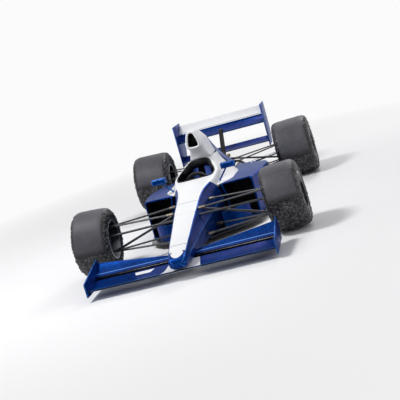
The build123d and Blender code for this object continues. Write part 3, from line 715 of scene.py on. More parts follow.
@dataclass
class Sheet:
    """A grid of points that becomes a mesh, closed round its columns and closed or capped along its rows."""

    points: Array
    across: Array
    along: Array
    loop: bool = False
    wrap: float = 0.0

    def build(self, name: str) -> bpy.types.Object:
        """Makes the mesh.

        Args:
            name: the new object's name.

        Returns:
            The object, with its surface coordinates, facing outwards.
        """
        rows, columns, _ = self.points.shape
        ids = np.arange(rows * columns).reshape(rows, columns)
        lower = ids if self.loop else ids[:-1]
        upper = np.roll(ids, -1, axis=0) if self.loop else ids[1:]
        quads = np.stack([lower, np.roll(lower, -1, 1), np.roll(upper, -1, 1), upper], -1).reshape(-1, 4)
        across = np.broadcast_to(self.across, (rows, columns)).ravel()
        along = np.broadcast_to(self.along, (rows, columns)).ravel()
        corner_across, corner_along = across[quads].copy(), along[quads]
        seam = np.tile(np.arange(columns) == columns - 1, lower.shape[0])
        corner_across[np.ix_(seam, [1, 2])] += self.wrap
        points = self.points.reshape(-1, 3)
        faces, sizes = [quads.ravel()], [np.full(len(quads), 4)]
        marks = [np.stack([corner_across, corner_along], -1).reshape(-1, 2)]
        if not self.loop:
            for row, turn in ((0, 1), (rows - 1, -1)):
                centre = len(points)
                points = np.vstack([points, points[ids[row]].mean(axis=0)])
                ring = np.stack([np.roll(ids[row], -1), ids[row], np.full(columns, centre)], -1)[:, ::turn]
                faces.append(ring.ravel())
                sizes.append(np.full(columns, 3))
                ring_points = np.where(ring == centre, ids[row][0], ring)
                marks.append(np.stack([across[ring_points], along[ring_points]], -1).reshape(-1, 2))
        return mesh_object(name, points, np.concatenate(faces), np.concatenate(sizes), np.vstack(marks))


def placed(name: str, data: bpy.types.ID) -> bpy.types.Object:
    """A new object in the scene."""
    piece = bpy.data.objects.new(name, data)
    bpy.context.scene.collection.objects.link(piece)
    return piece


def mesh_object(name: str, points: Array, corners: Array, sizes: Array, marks: Array) -> bpy.types.Object:
    """Puts arrays into a mesh that faces outwards.

    The sum of point . (point x point) over the faces is six times the enclosed volume: where it is
    below zero the faces point inwards, and every face is turned over.

    Args:
        name: the new object's name.
        points: the vertices.
        corners: the vertex of each face corner.
        sizes: the corners of each face.
        marks: the two surface coordinates of each face corner.

    Returns:
        The object, in the scene.
    """
    starts = np.concatenate([[0], np.cumsum(sizes)[:-1]])
    a, b = points[corners[starts]], points[corners[starts + 1]]
    c, d = points[corners[starts + 2]], points[corners[starts + sizes - 1]]
    volume = np.sum(a * np.cross(b, c)) + np.sum(a * np.cross(c, d))
    if volume < 0:
        inside = np.arange(len(corners)) - np.repeat(starts, sizes)
        order = np.repeat(starts, sizes) + np.repeat(sizes, sizes) - 1 - inside
        corners, marks = corners[order], marks[order]
    mesh = bpy.data.meshes.new(name)
    mesh.vertices.add(len(points))
    mesh.vertices.foreach_set("co", points.astype(np.float32).ravel())
    mesh.loops.add(len(corners))
    mesh.loops.foreach_set("vertex_index", corners.astype(np.int32))
    mesh.polygons.add(len(sizes))
    mesh.polygons.foreach_set("loop_start", starts.astype(np.int32))
    mesh.update(calc_edges=True)
    layer = mesh.uv_layers.new(name="surface")
    layer.uv.foreach_set("vector", marks.astype(np.float32).ravel())
    mesh.polygons.foreach_set("use_smooth", np.ones(len(sizes), bool))
    mesh.validate()
    return placed(name, mesh)


def crease(piece: bpy.types.Object, degrees: float) -> None:
    """Keeps edges sharper than an angle crisp in an otherwise smooth piece."""
    mesh = piece.data
    work = bmesh.new()
    work.from_mesh(mesh)
    limit = math.radians(degrees)
    for edge in work.edges:
        edge.smooth = not (edge.is_manifold and edge.calc_face_angle(0.0) > limit)
    for face in work.faces:
        face.smooth = True
    work.to_mesh(mesh)
    work.free()


def sweep(path: Array, radius: float | Array, sides: int, flat: float = 1.0) -> Array:
    """Carries a round or oval section along a path.

    The section's first direction is the path's direction crossed with an upright, the second is
    square to both, and a point lies at their cosine and sine times the radius.

    Args:
        path: the centre line's points.
        radius: the radius, or one for each point.
        sides: points round the section.
        flat: the second half width as a share of the first.

    Returns:
        A grid of points, one row for each path point.
    """
    path = np.asarray(path, float)
    run = unit(np.gradient(path, axis=0))
    upright = np.where(np.abs(run[:, 2:]) > 0.95, [[0.0, 1.0, 0.0]], [[0.0, 0.0, 1.0]])
    first = unit(np.cross(run, upright))
    second = np.cross(first, run)
    angle = full_turn(sides)[None, :, None]
    ring = np.cos(angle) * first[:, None] + flat * np.sin(angle) * second[:, None]
    return path[:, None] + ring * np.broadcast_to(np.asarray(radius, float), len(path))[:, None, None]


def cord_piece(
    name: str, path: Array, radius: float | Array, sides: int, flat: float = 1.0
) -> bpy.types.Object:
    """A closed bar, pipe or strap along a path."""
    across, along = np.arange(sides)[None] / sides, np.arange(len(path))[:, None] * 1.0
    return Sheet(sweep(path, radius, sides, flat), across, along, wrap=1.0).build(name)


def spline(points: Array, count: int) -> Array:
    """A smooth path of count points through a few points."""
    points = np.asarray(points, float)
    at = np.arange(len(points), dtype=float)
    return flowing(at, points, np.linspace(0, len(points) - 1, count))


def ring_profile(low: float, high: float, inner: float, outer: float, bevel: float) -> Array:
    """The closed profile of a ring with bevelled corners."""
    left, right, foot, head = low + bevel, high - bevel, inner + bevel, outer - bevel
    return np.array([
        (left, inner), (right, inner), (high, foot), (high, head), (right, outer), (left, outer), (low, head),
        (low, foot),
    ])


def baked(piece: bpy.types.Object) -> None:
    """Turns a piece's modifiers into its mesh."""
    bpy.context.view_layer.update()
    shaped = piece.evaluated_get(bpy.context.evaluated_depsgraph_get())
    mesh = bpy.data.meshes.new_from_object(shaped)
    piece.modifiers.clear()
    piece.data = mesh


def dress(piece: bpy.types.Object, finish: object, edge: float = 0.0, body: str = CHASSIS) -> None:
    """Gives a piece its finish and its body.

    Args:
        piece: the piece.
        finish: what it is finished in.
        edge: edges sharper than this many degrees are kept crisp, 0 for none.
        body: the body that it rides on.
    """
    if edge:
        crease(piece, edge)
    piece.data.materials.clear()
    piece.data.materials.append(SHELF.take(finish))
    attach(piece, body)
    log.info("%s: %d faces on %s", piece.name, len(piece.data.polygons), body)


def vertices(mesh: bpy.types.Mesh) -> Array:
    """A mesh's vertices, one a row."""
    points = np.zeros(len(mesh.vertices) * 3)
    mesh.vertices.foreach_get("co", points)
    return points.reshape(-1, 3)


def mark_edges(piece: bpy.types.Object, bevel: float) -> None:
    """Marks the narrow faces of a bevel in the piece's surface coordinates.

    A face's width is its area over its longest side. Where that is under the bevel, across is a half.

    Args:
        piece: the bevelled piece.
        bevel: the bevel's width.
    """
    mesh = piece.data
    count = len(mesh.polygons)
    area, total, corners = np.zeros(count), np.zeros(count, int), np.zeros(len(mesh.loops), int)
    mesh.polygons.foreach_get("area", area)
    mesh.polygons.foreach_get("loop_total", total)
    mesh.loops.foreach_get("vertex_index", corners)
    points = vertices(mesh)[corners]
    first = np.concatenate([[0], np.cumsum(total)[:-1]])
    low, high = np.minimum.reduceat(points, first), np.maximum.reduceat(points, first)
    width = area / np.maximum(np.linalg.norm(high - low, axis=1), 1e-9)
    layer = mesh.uv_layers.new(name="surface")
    uv = np.zeros((len(corners), 2))
    # across of a half is where the paint lays its painted highlight
    uv[:, 0] = np.repeat(np.where(width < bevel, 0.5, 0.0), total)
    layer.data.foreach_set("uv", uv.ravel())


def from_solid(node: str, name: str, finish: object, bevel: float) -> None:
    """A smoothed and bevelled copy of a solid, which it stands for.

    Args:
        node: the solid's name.
        name: the new piece's name.
        finish: what it is finished in.
        bevel: the width of its edges' bevel, 0 for none.
    """
    source = frame["nodes"][node]
    mesh = source.data.copy()
    mesh.transform(source.matrix_world)
    work = bmesh.new()
    work.from_mesh(mesh)
    bmesh.ops.remove_doubles(work, verts=work.verts, dist=1e-5)
    bmesh.ops.dissolve_limit(
        work, angle_limit=math.radians(0.6), verts=work.verts, edges=work.edges, use_dissolve_boundaries=False
    )
    work.to_mesh(mesh)
    work.free()
    piece = placed(name, mesh)
    if bevel:
        edge = piece.modifiers.new("edges", "BEVEL")
        edge.width, edge.segments, edge.angle_limit = bevel, 2, math.radians(EDGE_ANGLE)
        edge.limit_method, edge.use_clamp_overlap, edge.harden_normals = "ANGLE", True, False
        baked(piece)
        mark_edges(piece, bevel)
    dress(piece, finish, EDGE_ANGLE, NODE_BODY[node])
    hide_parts(node)


# ---------------------------------------------------------------- body shells


@dataclass
class Hull:
    """A shell through stations along the car, its half outlines mirrored about the centre line."""

    at: Array
    halves: Array
    radius: Array
    steps: int = 8

    def grid(self, ys: Array, insets: Array) -> tuple[Array, Array]:
        """The shell's points.

        At each station the half outline flows between its neighbours, is mirrored, moved inwards by
        the inset and has its corners rounded.

        Args:
            ys: the stations of the rows, in the car's frame.
            insets: how far each row is drawn in.

        Returns:
            The grid, and the place of each column counted in corners.
        """
        halves = flowing(self.at, self.halves, ys)
        corners = np.concatenate([halves, np.flip(halves, 1) * [-1.0, 1.0]], 1)
        corners = inset(corners, insets)
        radius = flowing(self.at, self.radius[:, None], ys)[:, 0]
        ring, places = rounded(corners, radius, self.steps)
        return sections(ring, ys[:, None]), places

    def build(
        self, name: str, ys: Array, insets: Array, marks: Array | None = None, loop: bool = False
    ) -> bpy.types.Object:
        """A form capped at both ends, or with loop a wall that turns at its two open ends."""
        grid, places = self.grid(ys, insets)
        along = (ys - FRONT_AXLE if marks is None else marks)[:, None]
        return Sheet(grid, places[None], along, loop, self.halves.shape[1] * 2.0).build(name)


def wall_path(front: float, rear: float, wall: float, rows: int) -> tuple[Array, Array, Array]:
    """The rows of a wall: out along its skin, round the rear lip, back inside and round the front lip.

    Each lip is a half circle: the row moves by half the wall times the sine, and is drawn in by half
    the wall times one less the cosine.

    Args:
        front: the front lip's station.
        rear: the rear lip's station.
        wall: its thickness.
        rows: rows along the skin.

    Returns:
        The stations, the insets, and the marks of the rows, with INSIDE added within.
    """
    half = wall / 2
    turn = np.linspace(0, np.pi, 9)[1:-1]
    skin = np.linspace(front + half, rear - half, rows)
    inner = skin[::-1]
    ys = np.concatenate([skin, rear - half + half * np.sin(turn), inner, front + half - half * np.sin(turn)])
    insets = np.concatenate([
        np.zeros(rows), half * (1 - np.cos(turn)), np.full(rows, wall), half * (1 + np.cos(turn))
    ])
    marks = ys - FRONT_AXLE
    marks[rows + len(turn) : 2 * rows + len(turn)] += INSIDE
    return ys, insets, marks


NOSE_AT = np.array([-0.888, -0.74, -0.43, -0.15])
NOSE_HALVES = np.array([
    [(0.062, 0.104), (0.078, 0.148), (0.068, 0.188)],
    [(0.074, 0.096), (0.096, 0.178), (0.078, 0.242)],
    [(0.090, 0.090), (0.124, 0.220), (0.090, 0.324)],
    [(0.108, 0.084), (0.150, 0.255), (0.102, 0.396)],
])
TUB_AT = np.array([-0.15, 0.35, 0.70, 0.86, 1.23, 1.65])
TUB_HALVES = np.array([
    [(0.108, 0.084), (0.150, 0.255), (0.102, 0.396)],
    [(0.150, 0.061), (0.205, 0.305), (0.128, 0.500)],
    [(0.190, 0.061), (0.250, 0.330), (0.206, 0.545)],
    [(0.200, 0.061), (0.262, 0.338), (0.222, 0.576)],
    [(0.205, 0.061), (0.262, 0.340), (0.120, 0.650)],
    [(0.205, 0.061), (0.262, 0.340), (0.118, 0.650)],
])
POD_AT = np.array([0.62, 1.18, 1.65, 1.96, 2.27])
POD_HALVES = np.array([
    [(0.265, 0.0605), (0.545, 0.0605), (0.545, 0.446), (0.236, 0.452), (0.265, 0.340)],
    [(0.265, 0.0605), (0.604, 0.0605), (0.604, 0.430), (0.242, 0.450), (0.265, 0.340)],
    [(0.265, 0.0605), (0.604, 0.0605), (0.604, 0.398), (0.250, 0.432), (0.265, 0.340)],
    [(0.246, 0.0605), (0.585, 0.0605), (0.585, 0.368), (0.238, 0.410), (0.246, 0.340)],
    [(0.226, 0.0605), (0.530, 0.0605), (0.530, 0.335), (0.222, 0.372), (0.226, 0.332)],
])
BODY_AT = np.concatenate([NOSE_AT, TUB_AT[1:]]) + FRONT_AXLE
BODY_HALVES = np.concatenate([NOSE_HALVES, TUB_HALVES[1:]])
BODY_RADIUS = np.array([0.03, 0.034, 0.038, 0.042, 0.046, 0.046, 0.046, 0.046, 0.046])


@dataclass
class Tub:
    """The nose cone and the tub: one flowing hull in two pieces, with the cockpit cut in the second."""

    break_at: float = -0.15
    tip: float = -0.900
    tip_round: float = 0.034
    tip_share: float = 0.9  # how much of that radius the very tip is drawn in
    seam: float = 0.0018
    floor_wall: float = 0.025
    cockpit: tuple = ((0.164, 0.70), (0.190, 0.80), (0.176, 0.90), (0.084, 1.23))
    cockpit_corner: float = 0.045
    seal_radius: float = 0.0065
    joint: tuple = (0.0008, 0.0012, 0.004)  # how far from the break the rows of each edge lie
    rear: tuple = (1.646, 1.649)  # the last rows of the skin and of its drawn in end
    cavity: tuple = (0.2, 1.625)  # its ends
    prism: tuple = (0.33, 0.9)  # the foot and the head of the cockpit's cut
    rows: tuple = (72, 150, 60)  # rows of the nose, the tub and the cavity
    rack_at: tuple[float, float] = (-1.368, 0.348)
    rack_bore: float = 0.0125

    def hull(self) -> Hull:
        """The hull of nose and tub."""
        return Hull(BODY_AT, BODY_HALVES, BODY_RADIUS, 9)

    def nose(self) -> None:
        """The nose, with a round tip: each row near it is drawn in as a quarter circle."""
        turn = np.linspace(0.06, np.pi / 2, 12)
        tip_rows = self.tip + self.tip_round * (1 - np.sin(turn))[::-1]
        tip_insets = (self.tip_round * (1 - np.cos(turn)))[::-1] * self.tip_share
        edge, lip, skin = self.joint
        body = np.linspace(self.tip + self.tip_round, self.break_at - skin, self.rows[0])[1:]
        end = np.array([self.break_at - lip, self.break_at - edge])
        ys = np.concatenate([np.sort(tip_rows), body, end]) + FRONT_AXLE
        insets = np.concatenate([np.sort(tip_insets)[::-1], np.zeros(len(body)), [self.seam, self.seam * 2]])
        piece = self.hull().build("nose_shell", ys, insets)
        dress(piece, Paint("nose_paint", Scheme.NOSE, seams=(-0.70,)))
        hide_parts("nose_cone")

    def plan(self) -> Array:
        """The cockpit opening's outline in plan."""
        half = np.array(self.cockpit)
        corners = np.concatenate([half * [-1.0, 1.0], half[::-1]])[None]
        ring, _ = rounded(corners, np.array([self.cockpit_corner]), 10)
        return ring[0] + [0.0, FRONT_AXLE]

    def tub(self) -> None:
        """The tub: a closed hull, less its cavity, a prism through the cockpit and the rack's bore."""
        edge, lip, skin = self.joint
        start = np.array([self.break_at + edge, self.break_at + lip])
        body = np.linspace(self.break_at + skin, self.rear[0], self.rows[1])
        ys = np.concatenate([start, body, [self.rear[1]]]) + FRONT_AXLE
        insets = np.concatenate([[self.seam * 2, self.seam], np.zeros(len(body)), [0.003]])
        hull = self.hull()
        piece = hull.build("tub_shell", ys, insets)
        tree = BVHTree.FromPolygons(
            [v.co[:] for v in piece.data.vertices], [p.vertices[:] for p in piece.data.polygons]
        )
        inner_ys = np.linspace(*self.cavity, self.rows[2]) + FRONT_AXLE
        within = np.full(self.rows[2], INSIDE + 1)
        cavity = hull.build("cavity", inner_ys, np.full(self.rows[2], self.floor_wall), within)
        plan = self.plan()
        grid = np.stack([np.column_stack([plan, np.full(len(plan), z)]) for z in self.prism])
        prism = Sheet(grid, np.zeros((1, 1)), np.full((1, 1), INSIDE + 1)).build("prism")
        path = np.array([(x, *self.rack_at) for x in (-0.5, -0.2, 0.2, 0.5)])
        grid = sweep(path, self.rack_bore, 24)
        bore = Sheet(grid, np.zeros((1, 1)), np.full((1, 1), INSIDE + 1)).build("bore")
        for cutter in (cavity, prism, bore):
            cut = piece.modifiers.new("cut", "BOOLEAN")
            cut.operation, cut.solver, cut.object = "DIFFERENCE", "EXACT", cutter
        baked(piece)
        for cutter in (cavity, prism, bore):
            bpy.data.objects.remove(cutter)
        paint = Paint("tub_paint", Scheme.TUB, True, seams=(0.07,), painted_shade=0.55)
        dress(piece, paint, 38.0)
        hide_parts("monocoque")
        self.seal(tree)

    def seal(self, tree: BVHTree) -> None:
        """The rubber seal round the opening, on the tub's skin.

        Args:
            tree: the uncut skin, to find its height at each point.
        """
        plan = self.plan()
        closed = np.vstack([plan, plan[:1]])
        length = travelled(closed)
        wanted = np.linspace(0, length[-1], 160, endpoint=False)
        even = np.column_stack([np.interp(wanted, length, closed[:, i]) for i in (0, 1)])
        down = Vector((0, 0, -1))
        heights = [tree.ray_cast(Vector((x, y, 2.0)), down)[0].z for x, y in even.tolist()]
        path = np.column_stack([even, np.array(heights) + 0.001])
        padded = np.vstack([path[-3:], path, path[:3]])
        grid = sweep(padded, self.seal_radius, 10)[3:-3]
        piece = Sheet(grid, np.linspace(0, 1, 10)[None], np.zeros((1, 1)), True).build("cockpit_seal")
        dress(piece, SEAL)

    def build(self) -> None:
        """Builds nose and tub."""
        self.nose()
        self.tub()


@dataclass
class Airbox:
    """The white fairing over the roll hoop, with its open snorkel."""

    at: tuple = (1.10, 1.20, 1.30, 1.42, 1.65)
    wall: float = 0.013
    lip_radii: tuple = (0.0125, 0.016)  # square to the mouth's edge, and fore and aft
    lip_back: float = 0.006
    end_at: tuple = (0.110, 0.114)  # the faces of the wall across the duct, behind the mouth

    def build(self) -> None:
        """A flowing shell from the snorkel's rim to the cover's joint."""
        halves = np.array([
            [(0.038, 0.787), (0.064, 0.799), (0.0725, 0.832), (0.060, 0.896), (0.033, 0.968)],
            [(0.044, 0.776), (0.070, 0.790), (0.0755, 0.828), (0.061, 0.898), (0.032, 0.967)],
            [(0.110, 0.662), (0.091, 0.722), (0.080, 0.792), (0.061, 0.899), (0.030, 0.964)],
            [(0.116, 0.6505), (0.094, 0.712), (0.080, 0.782), (0.060, 0.885), (0.030, 0.945)],
            [(0.116, 0.6505), (0.098, 0.700), (0.084, 0.752), (0.060, 0.830), (0.028, 0.876)],
        ])
        at = np.array(self.at) + FRONT_AXLE
        hull = Hull(at, halves, np.array([0.03, 0.03, 0.024, 0.024, 0.024]), 9)
        ys, insets, marks = wall_path(at[0], at[-1] - 0.002, self.wall, 64)
        piece = hull.build("airbox_shell", ys, insets, marks, True)
        dress(piece, Paint("airbox_paint", Scheme.ALL, True))
        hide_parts("airbox")
        self.lip(hull)
        self.duct()

    def lip(self, hull: Hull) -> None:
        """A full round lip about the mouth: an oval of two radii carried along the mouth's outline."""
        ring, _ = hull.grid(np.array([self.at[0] + FRONT_AXLE]), np.array([0.009]))
        path = ring[0]
        ahead = np.roll(path, -1, axis=0) - np.roll(path, 1, axis=0)
        out = unit(np.stack([ahead[:, 2], np.zeros(len(path)), -ahead[:, 0]], 1))
        turn = full_turn(16)[None, :, None]
        wide, deep = self.lip_radii
        oval = wide * np.cos(turn) * out[:, None] + np.sin(turn) * [0, deep, 0]
        grid = path[:, None] + oval + [0, self.lip_back, 0]
        piece = Sheet(grid, np.linspace(0, 0.1, 16)[None], np.zeros((1, 1)), True).build("snorkel_lip")
        dress(piece, WHITE_PAINT)

    def duct(self) -> None:
        """A black wall across the snorkel, where its duct turns down."""
        rows = FRONT_AXLE + self.at[0] + np.array(self.end_at)
        half = [(0.038, 0.785), (0.064, 0.797), (0.070, 0.83), (0.056, 0.894), (0.028, 0.962)]
        hull = Hull(rows, np.array([half, half]), np.full(2, 0.02))
        piece = hull.build("snorkel_end", rows, np.full(2, 0.010))
        dress(piece, DUCT_BLACK)


@dataclass
class Skirt:
    """The white cowl that sweeps from the cockpit's flank out over the side pod's top."""

    at: tuple = (0.60, 0.78, 1.00, 1.28, 1.44, 1.68)
    reach_out: tuple = (0.018, 0.080, 0.108, 0.136, 0.104, 0.010)
    reach_up: tuple = (0.25, 0.60, 0.80, 0.95, 0.97, 0.97)
    fullness: tuple = (0.1, 0.25, 0.55, 1.0, 1.15, 0.5)
    sunk: float = 0.006  # how deep its closing edge lies in the crease
    lap: float = 0.004  # how far its two edges lie under the skins
    lift: float = 0.0006
    rows: int = 72
    columns: int = 18

    def build(self) -> None:
        """Carries a hollow curve along the crease between flank and pod.

        At each station the curve is (1-t)^2 of a point up the flank, 2t(1-t) of a middle point and t^2 of
        a point out on the pod. The middle point lies between the crease and the curve's own chord, by
        the fullness. Below, the section is closed a little under both skins.
        """
        ys = np.linspace(self.at[0], self.at[-1], self.rows)
        sizes = flowing(np.array(self.at), np.stack([self.reach_out, self.reach_up, self.fullness], 1), ys)
        tub = flowing(TUB_AT, TUB_HALVES, np.minimum(ys, TUB_REAR))
        shoulder, top = tub[:, 1], tub[:, 2]
        pod = flowing(POD_AT, POD_HALVES, np.maximum(ys, POD_AT[0]))
        pod_in, pod_out = pod[:, 3], pod[:, 2]
        up, out = unit(top - shoulder), unit(pod_out - pod_in)
        cross = up[:, 0] * out[:, 1] - up[:, 1] * out[:, 0]
        lead = pod_in - shoulder
        rise = ((lead[:, 0] * out[:, 1] - lead[:, 1] * out[:, 0]) / cross)[:, None]
        crease_line = shoulder + up * rise
        room = np.linalg.norm(top - crease_line, axis=1, keepdims=True)
        high = crease_line + up * room * sizes[:, 1:2]
        wide = crease_line + out * sizes[:, 0:1]
        middle = crease_line + ((high + wide) / 2 - crease_line) * sizes[:, 2:3]
        t = np.linspace(0, 1, self.columns)[None, :, None]
        curve = (1 - t) ** 2 * high[:, None] + 2 * t * (1 - t) * middle[:, None] + t**2 * wide[:, None]
        below = crease_line - self.sunk
        closing = np.stack([wide - [0, self.lap], below, high - [self.lap, 0]], 1)
        section = np.concatenate([curve, closing], 1)
        for side, sign in SIDES:
            grid = sections(section + [0, self.lift], ys[:, None] + FRONT_AXLE, sign)
            across = np.linspace(0, 0.1, section.shape[1])[None]
            piece = Sheet(grid, across, (ys - self.at[0])[:, None]).build(f"cowl_skirt_{side}")
            dress(piece, WHITE_PAINT, 40.0)


@dataclass
class Cover:
    """The blue engine cover, ridged where its panels fold."""

    wall: float = 0.010

    def build(self) -> None:
        """A flowing shell from the tub's rear to the tail."""
        at = np.array([1.65, 2.06, 2.47]) + FRONT_AXLE
        halves = np.array([
            [(0.254, 0.410), (0.206, 0.520), (0.116, 0.650), (0.084, 0.752), (0.060, 0.830), (0.028, 0.876)],
            [(0.216, 0.410), (0.180, 0.480), (0.112, 0.552), (0.080, 0.606), (0.054, 0.652), (0.026, 0.684)],
            [(0.130, 0.410), (0.108, 0.446), (0.080, 0.476), (0.058, 0.498), (0.040, 0.513), (0.022, 0.522)],
        ])
        hull = Hull(at, halves, np.array([0.016, 0.014, 0.008]), 6)
        ys, insets, marks = wall_path(at[0] + 0.001, at[-1], self.wall, 60)
        piece = hull.build("cover_shell", ys, insets, marks, True)
        dress(piece, SHELL_PAINT)
        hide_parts("engine_cover")


@dataclass
class Pod:
    """One side pod: a flat topped shell round the radiator, its mouth swept back outwards."""

    side: str
    front: float = 0.62
    sweep: float = 0.07
    lip: float = 0.016
    inner: float = 0.265
    span: float = 0.3  # the distance outwards over which the sweep grows
    fade: float = 0.45  # the distance back over which it dies out

    def build(self) -> None:
        """Flows five corners between stations, then shears the front lip back by its distance outwards."""
        ys, insets, marks = wall_path(self.front, POD_AT[-1], self.lip, 72)
        corners = inset(flowing(POD_AT, POD_HALVES, ys), insets)
        radius = np.interp(ys, POD_AT, [0.022, 0.03, 0.032, 0.03, 0.022])
        ring, places = rounded(corners, radius, 8)
        lag = self.sweep * np.clip((ring[..., 0] - self.inner) / self.span, -0.3, 1.0)
        lag = lag * np.clip(1 - (ys[:, None] - self.front) / self.fade, 0, 1) ** 1.5
        grid = sections(ring, ys[:, None] + lag + FRONT_AXLE, dict(SIDES)[self.side])
        piece = Sheet(grid, places[None], marks[:, None], True, 5.0).build(f"pod_shell_{self.side}")
        dress(piece, POD_PAINT)
        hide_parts(f"sidepod_{self.side}")


# ---------------------------------------------------------------- wheels


@dataclass
class Wheel:
    """One wheel's frame and what turns in it."""

    end: str
    side: str
    track: float
    axle_y: float
    radius: float
    width: float
    camber: float
    bead: float = 0.018  # how far its bead lies in from the tyre's side
    seat: float = 0.1655  # the bead's radius
    shoulder: float = 0.046
    bore: float = 0.0235
    pebble: float = 0.033
    pebble_height: float = 0.014
    sunk: float = 0.85  # the height at which a pebble breaks the skin, as a share of the tallest
    low_reach: float = 0.10  # how far up low pebbles and the edges' reach, as a cosine from the ground
    edge_reach: float = 1.15
    edge_from: float = 0.74  # where the edges begin, as a share of half the width
    columns: int = 84
    rows: int = 420

    def place(self) -> Array:
        """The matrix of the left wheel's frame, mirrored for the right wheel."""
        tilt = math.radians(self.camber)
        cos, sin = math.cos(tilt), math.sin(tilt)
        flat = self.width / 2 - self.shoulder
        height = (self.radius - self.shoulder) * cos + flat * sin + self.shoulder
        matrix = np.array([
            [cos, 0, -sin, self.track / 2], [0, 1, 0, self.axle_y], [sin, 0, cos, height], [0, 0, 0, 1]
        ])
        if self.side == "right":
            matrix[0] *= -1
        return matrix

    def turned(self, profile: Array, angle: Array) -> Array:
        """Turns (axial, radial) points about the axle, one row an angle: radial by its sine and cosine."""
        axial, radial, place = profile[..., 0], profile[..., 1], self.place()
        grid = np.stack([axial + 0 * angle, radial * np.sin(angle), radial * np.cos(angle)], -1)
        return grid @ place[:3, :3].T + place[:3, 3]

    def outline(self) -> Array:
        """The tyre's outer profile from its inner bead to its outer bead, as (axial, radial)."""
        half, bead, top = self.width / 2, self.width / 2 - self.bead, self.radius
        right = [
            (0.0, top), (half * 0.35, top - 0.0008), (half - 0.062, top - 0.003), (half - 0.030, top - 0.011),
            (half - 0.010, top - 0.032), (half - 0.001, top - 0.066), (half, 0.222), (half - 0.004, 0.200),
            (bead + 0.004, 0.184), (bead, 0.1775), (bead, self.seat),
        ]
        points = np.array([(-x, r) for x, r in reversed(right[1:])] + right)
        steps = travelled(points)
        return flowing(steps, points, np.linspace(0, steps[-1], self.columns))

    def scatter(self, run: Array, arc: Array, cells_round: int, seed: int) -> Array:
        """A field of rounded pebbles over the tyre's skin.

        Each cell of a lattice holds one point, moved at random. A pebble's height is the gap between
        the distances to the nearest and to the second nearest point, bent to a dome.

        Args:
            run: the place round the tyre in cells, one row.
            arc: the place across the tyre in cells, one column.
            cells_round: cells round the tyre, so the field closes on itself.
            seed: the field's own number.

        Returns:
            Heights from 0 to 1.
        """
        dice = np.random.default_rng(seed)
        rows = int(np.ceil(arc.max())) + 3
        shift = dice.random((cells_round, rows, 2))
        tall = dice.random((cells_round, rows)) ** 0.7
        u, v = np.broadcast_arrays(run, arc)
        base_u, base_v = np.floor(u).astype(int), np.floor(v).astype(int)
        nearest = np.full(u.shape, 9.0)
        second = np.full(u.shape, 9.0)
        height = np.zeros(u.shape)
        for step_u in (-1, 0, 1):
            for step_v in (-1, 0, 1):
                cell_u, cell_v = base_u + step_u, base_v + step_v
                key_u, key_v = cell_u % cells_round, np.clip(cell_v + 1, 0, rows - 1)
                point = shift[key_u, key_v]
                gap = np.hypot(cell_u + point[..., 0] - u, cell_v + point[..., 1] - v)
                second = np.minimum(second, np.maximum(gap, nearest))
                height = np.where(gap < nearest, tall[key_u, key_v], height)
                nearest = np.minimum(nearest, gap)
        dome = np.sqrt(1 - (1 - np.clip((second - nearest) * 1.7, 0, 1)) ** 2)
        return dome * (0.4 + 0.6 * height)

    def tyre(self) -> None:
        """The tyre: the profile turned about the axle, with pebbles of rubber low down and on its edges."""
        skin = self.outline()
        slope = unit(np.gradient(skin, axis=0))
        normal = np.column_stack([-slope[:, 1], slope[:, 0]])
        normal *= np.sign(normal[self.columns // 2, 1])
        arc = travelled(skin)
        angle = full_turn(self.rows)[:, None]
        cells_round = int(round(2 * np.pi * self.radius / self.pebble))
        seed = sum(ord(letter) for letter in self.end + self.side)
        run = angle / (2 * np.pi) * cells_round
        field = self.scatter(run, arc[None] / self.pebble + 0.5, cells_round, seed)
        wobble = 0.12 * np.sin(3 * angle + seed) + 0.08 * np.sin(7 * angle + 2 * seed)
        down = wobble - np.cos(angle)
        low = np.clip((down + self.low_reach) / 0.35, 0, 1)
        out = np.abs(skin[None, :, 0]) / (self.width / 2)
        tread = np.clip((skin[None, :, 1] - 0.200) / 0.02, 0, 1)
        edge = np.clip((out - self.edge_from) / 0.12, 0, 1) * np.clip((down + self.edge_reach) / 0.4, 0, 1)
        share = np.maximum(low, edge) * tread
        lift = self.pebble_height * share * (field - self.sunk)
        skin_points = skin[None] + normal[None] * lift[..., None]
        bead = self.width / 2 - self.bead
        right = [(bead - 0.012, self.seat), (bead - 0.006, 0.20), (self.width / 2 - 0.05, self.radius - 0.02)]
        liner = np.array(right + [(-x, r) for x, r in reversed(right)])
        liner_points = np.broadcast_to(liner[None], (self.rows, *liner.shape))
        grid = self.turned(np.concatenate([skin_points, liner_points], 1), angle)
        across = np.concatenate([arc / arc[-1], np.ones(3), np.zeros(3)])[None]
        # the share of pebbles, higher on their tops: the tread paints a highlight there and shade in the gaps
        cling = share * (0.35 + 0.65 * np.clip(field * 1.25, 0, 1))
        marks = np.concatenate([cling, np.zeros((self.rows, 6))], 1)
        piece = Sheet(grid, across, marks, True).build(f"{self.end}_tyre_skin_{self.side}")
        dress(piece, Tread("tyre_rubber"), body=f"wheel_{self.end}_{self.side}")
        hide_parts(f"{self.end}_tyre_{self.side}")

    def turning(self) -> None:
        """The rim, the brake disc and a six sided nut."""
        end, side = self.end, self.side
        paint = Rim(f"{end}_rim_paint", self.axle_y, float(self.place()[2, 3]))
        from_solid(f"{end}_rim_{side}", f"{end}_rim_metal_{side}", paint, 0.0025)
        from_solid(f"{end}_brake_disc_{side}", f"{end}_disc_iron_{side}", IRON, 0.0015)
        face = (self.width / 2 - 0.010) * 0.45  # where the solid rim has the face of its dish
        profile = ring_profile(face + 0.043, face + 0.066, 0.012, 0.026, 0.003)
        grid = self.turned(profile, full_turn(6)[:, None])
        nut = Sheet(grid, np.zeros((1, 1)), np.zeros((1, 1)), True).build(f"{end}_wheel_nut_{side}")
        dress(nut, STEEL, 25.0, f"wheel_{end}_{side}")

